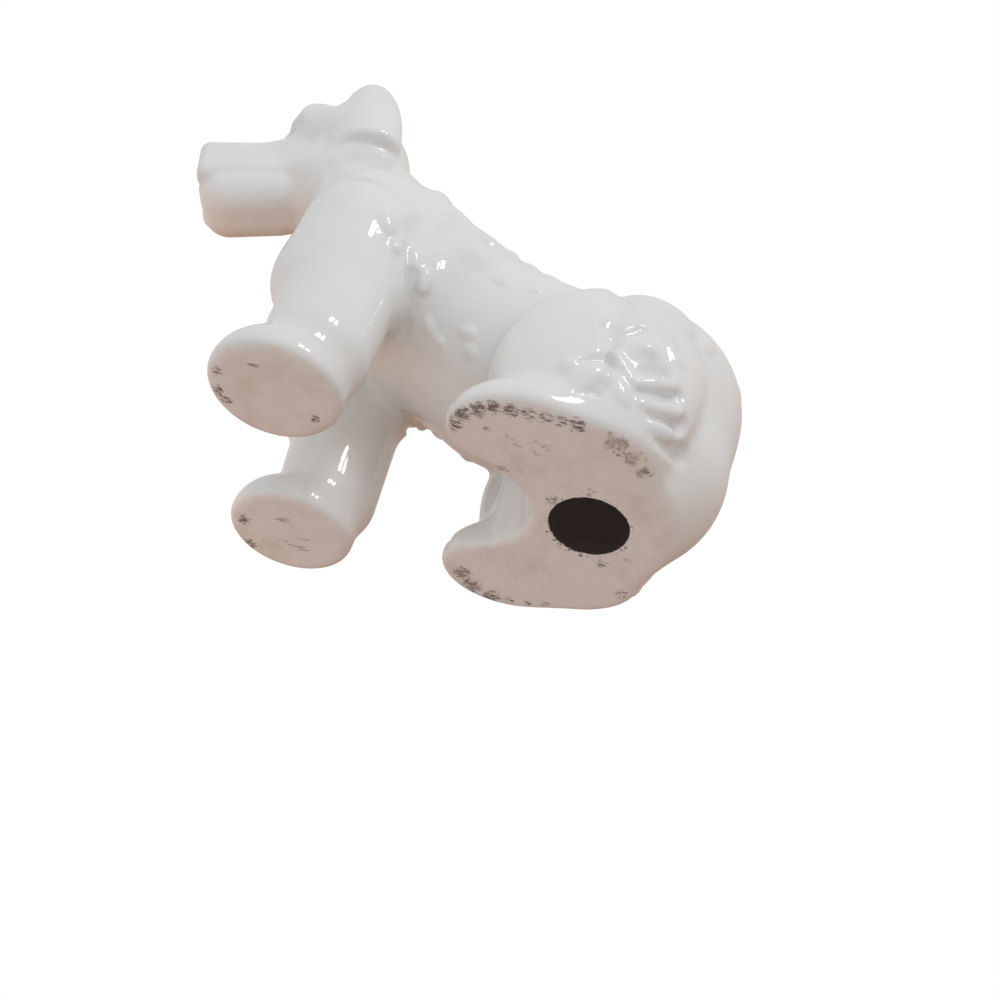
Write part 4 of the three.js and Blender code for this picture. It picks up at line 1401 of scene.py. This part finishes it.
def floor_material(shade):
    """Pale matt floor that only the camera sees, and only from above, so that the base shows from below."""
    material, tree = new_material("floor")
    where = add(tree, "ShaderNodeTexCoord").outputs["Object"]
    cloud_share = 0.02
    cloud_shade = (0.7, 0.7, 0.7, 1.0)
    clouds = times(tree, noise(tree, where, scale=6.0), cloud_share)
    grey = mix(tree, clouds, shade, cloud_shade)
    matt = add(tree, "ShaderNodeBsdfDiffuse", {"Color": grey}).outputs["BSDF"]
    clear = add(tree, "ShaderNodeBsdfTransparent").outputs["BSDF"]
    camera = add(tree, "ShaderNodeLightPath").outputs["Is Camera Ray"]
    under = add(tree, "ShaderNodeNewGeometry").outputs["Backfacing"]
    above = add(tree, "ShaderNodeMath", {0: 1.0, 1: under}, operation="SUBTRACT").outputs["Value"]
    share = times(tree, camera, above)
    shown = add(tree, "ShaderNodeMixShader", {0: share, 1: clear, 2: matt}).outputs["Shader"]
    add(tree, "ShaderNodeOutputMaterial", {"Surface": shown})
    return material


def make_floor(settings):
    """Square floor just under the flats."""
    half = settings.floor_size / 2
    depth = -0.2 * MM
    corners = np.array(((-half, -half, depth), (half, -half, depth),
                        (half, half, depth), (-half, half, depth)))
    floor = make_mesh("floor", corners, [[0, 1, 2, 3]])
    floor.data.materials.append(floor_material(settings.floor))


def make_world(settings):
    """White backdrop for the camera, and a room with a bright and a dim side to light the figure."""
    world = bpy.data.worlds.new("backdrop")
    world.use_nodes = True
    tree = world.node_tree
    tree.nodes.clear()
    towards = add(tree, "ShaderNodeTexCoord").outputs["Generated"]
    side = add(tree, "ShaderNodeVectorMath", {0: towards, 1: BRIGHT_SIDE}, operation="DOT_PRODUCT")
    turned = side.outputs["Value"]
    room = mix(tree, ramp(tree, turned, DIM_REACH, MIDDLE_REACH), settings.room_dim, settings.room_middle)
    room = mix(tree, ramp(tree, turned, MIDDLE_REACH, BRIGHT_REACH), room, settings.room_bright)
    seen = add(tree, "ShaderNodeLightPath").outputs["Is Camera Ray"]
    shown = mix(tree, seen, room, settings.backdrop)
    light = add(tree, "ShaderNodeBackground", {"Color": shown})
    add(tree, "ShaderNodeOutputWorld", {"Surface": light.outputs["Background"]})
    bpy.context.scene.world = world


# Operators

class SCHNAUZER_OT_body(bpy.types.Operator):
    """Body casting with its haunches, leg stubs, hollow and vent hole"""
    bl_idname = "schnauzer.body"
    bl_label = "Body"

    def execute(self, context):
        dress(body_piece(Figure(context.scene.schnauzer)), "white_glaze", "body_shell")
        return {"FINISHED"}


class SCHNAUZER_OT_head(bpy.types.Operator):
    """Head casting with its muzzle, beard and brows"""
    bl_idname = "schnauzer.head"
    bl_label = "Head"

    def execute(self, context):
        dress(head_piece(Figure(context.scene.schnauzer)), "white_glaze", "head_shell")
        return {"FINISHED"}


class SCHNAUZER_OT_forelegs(bpy.types.Operator):
    """Two foreleg castings with their feet"""
    bl_idname = "schnauzer.forelegs"
    bl_label = "Forelegs"

    def execute(self, context):
        figure = Figure(context.scene.schnauzer)
        for side, flip in SIDES:
            dress(foreleg_piece(figure, f"{side}_foreleg_casting", flip), "white_glaze", f"{side}_foreleg")
        return {"FINISHED"}


class SCHNAUZER_OT_ears(bpy.types.Operator):
    """Two drop ears"""
    bl_idname = "schnauzer.ears"
    bl_label = "Ears"

    def execute(self, context):
        figure = Figure(context.scene.schnauzer)
        for side, flip in SIDES:
            dress(ear_piece(figure, f"{side}_drop_ear", flip), "white_glaze", f"{side}_ear")
        return {"FINISHED"}


class SCHNAUZER_OT_tail(bpy.types.Operator):
    """Docked tail"""
    bl_idname = "schnauzer.tail"
    bl_label = "Tail"

    def execute(self, context):
        dress(tail_piece(Figure(context.scene.schnauzer)), "white_glaze", "tail")
        return {"FINISHED"}


class SCHNAUZER_OT_luting(bpy.types.Operator):
    """Slip in the seams between the castings"""
    bl_idname = "schnauzer.luting"
    bl_label = "Luting"

    def execute(self, context):
        figure = Figure(context.scene.schnauzer)
        dress(neck_luting_piece(figure), "bare_clay", "neck_luting")
        for side, flip in SIDES:
            pad = leg_luting_piece(figure, f"{side}_foreleg_slip", flip)
            dress(pad, "bare_clay", f"{side}_foreleg_luting")
        return {"FINISHED"}


class SCHNAUZER_OT_stage(bpy.types.Operator):
    """Camera, lamps, floor and backdrop"""
    bl_idname = "schnauzer.stage"
    bl_label = "Stage"

    def execute(self, context):
        settings = context.scene.schnauzer.stage
        make_camera()
        make_lamps()
        make_floor(settings)
        make_world(settings)
        context.scene.view_settings.view_transform = "Standard"
        return {"FINISHED"}


OPERATORS = (SCHNAUZER_OT_stage, SCHNAUZER_OT_body, SCHNAUZER_OT_head, SCHNAUZER_OT_forelegs,
             SCHNAUZER_OT_ears, SCHNAUZER_OT_tail, SCHNAUZER_OT_luting)
GROUPS = (CastingSizes, TrunkSizes, HindSizes, ForelegSizes, HeadSizes, EarSizes, TailSizes, FinishColours,
          StageSettings, SchnauzerSettings)


class SCHNAUZER_PT_panel(bpy.types.Panel):
    """Lists the pieces and their settings"""
    bl_idname = "SCHNAUZER_PT_panel"
    bl_label = "Schnauzer Ornament"
    bl_space_type = "VIEW_3D"
    bl_region_type = "UI"
    bl_category = "Schnauzer"

    def draw(self, context):
        for operator in OPERATORS:
            self.layout.operator(operator.bl_idname)
        settings = context.scene.schnauzer
        for group in settings.__annotations__:
            box = self.layout.box()
            box.label(text=group.title())
            for label in getattr(settings, group).__annotations__:
                box.prop(getattr(settings, group), label)


CLASSES = (*GROUPS, *OPERATORS, SCHNAUZER_PT_panel)


def register():
    """Adds the classes, and the settings to every scene."""
    for each in CLASSES:
        bpy.utils.register_class(each)
    bpy.types.Scene.schnauzer = PointerProperty(type=SchnauzerSettings)


def unregister():
    """Takes the settings and the classes away again."""
    del bpy.types.Scene.schnauzer
    for each in reversed(CLASSES):
        bpy.utils.unregister_class(each)


def main():
    """Builds the stage and every piece."""
    register()
    bpy.ops.schnauzer.stage()
    bpy.ops.schnauzer.body()
    bpy.ops.schnauzer.head()
    bpy.ops.schnauzer.forelegs()
    bpy.ops.schnauzer.ears()
    bpy.ops.schnauzer.tail()
    bpy.ops.schnauzer.luting()


if __name__ == "__main__":
    main()
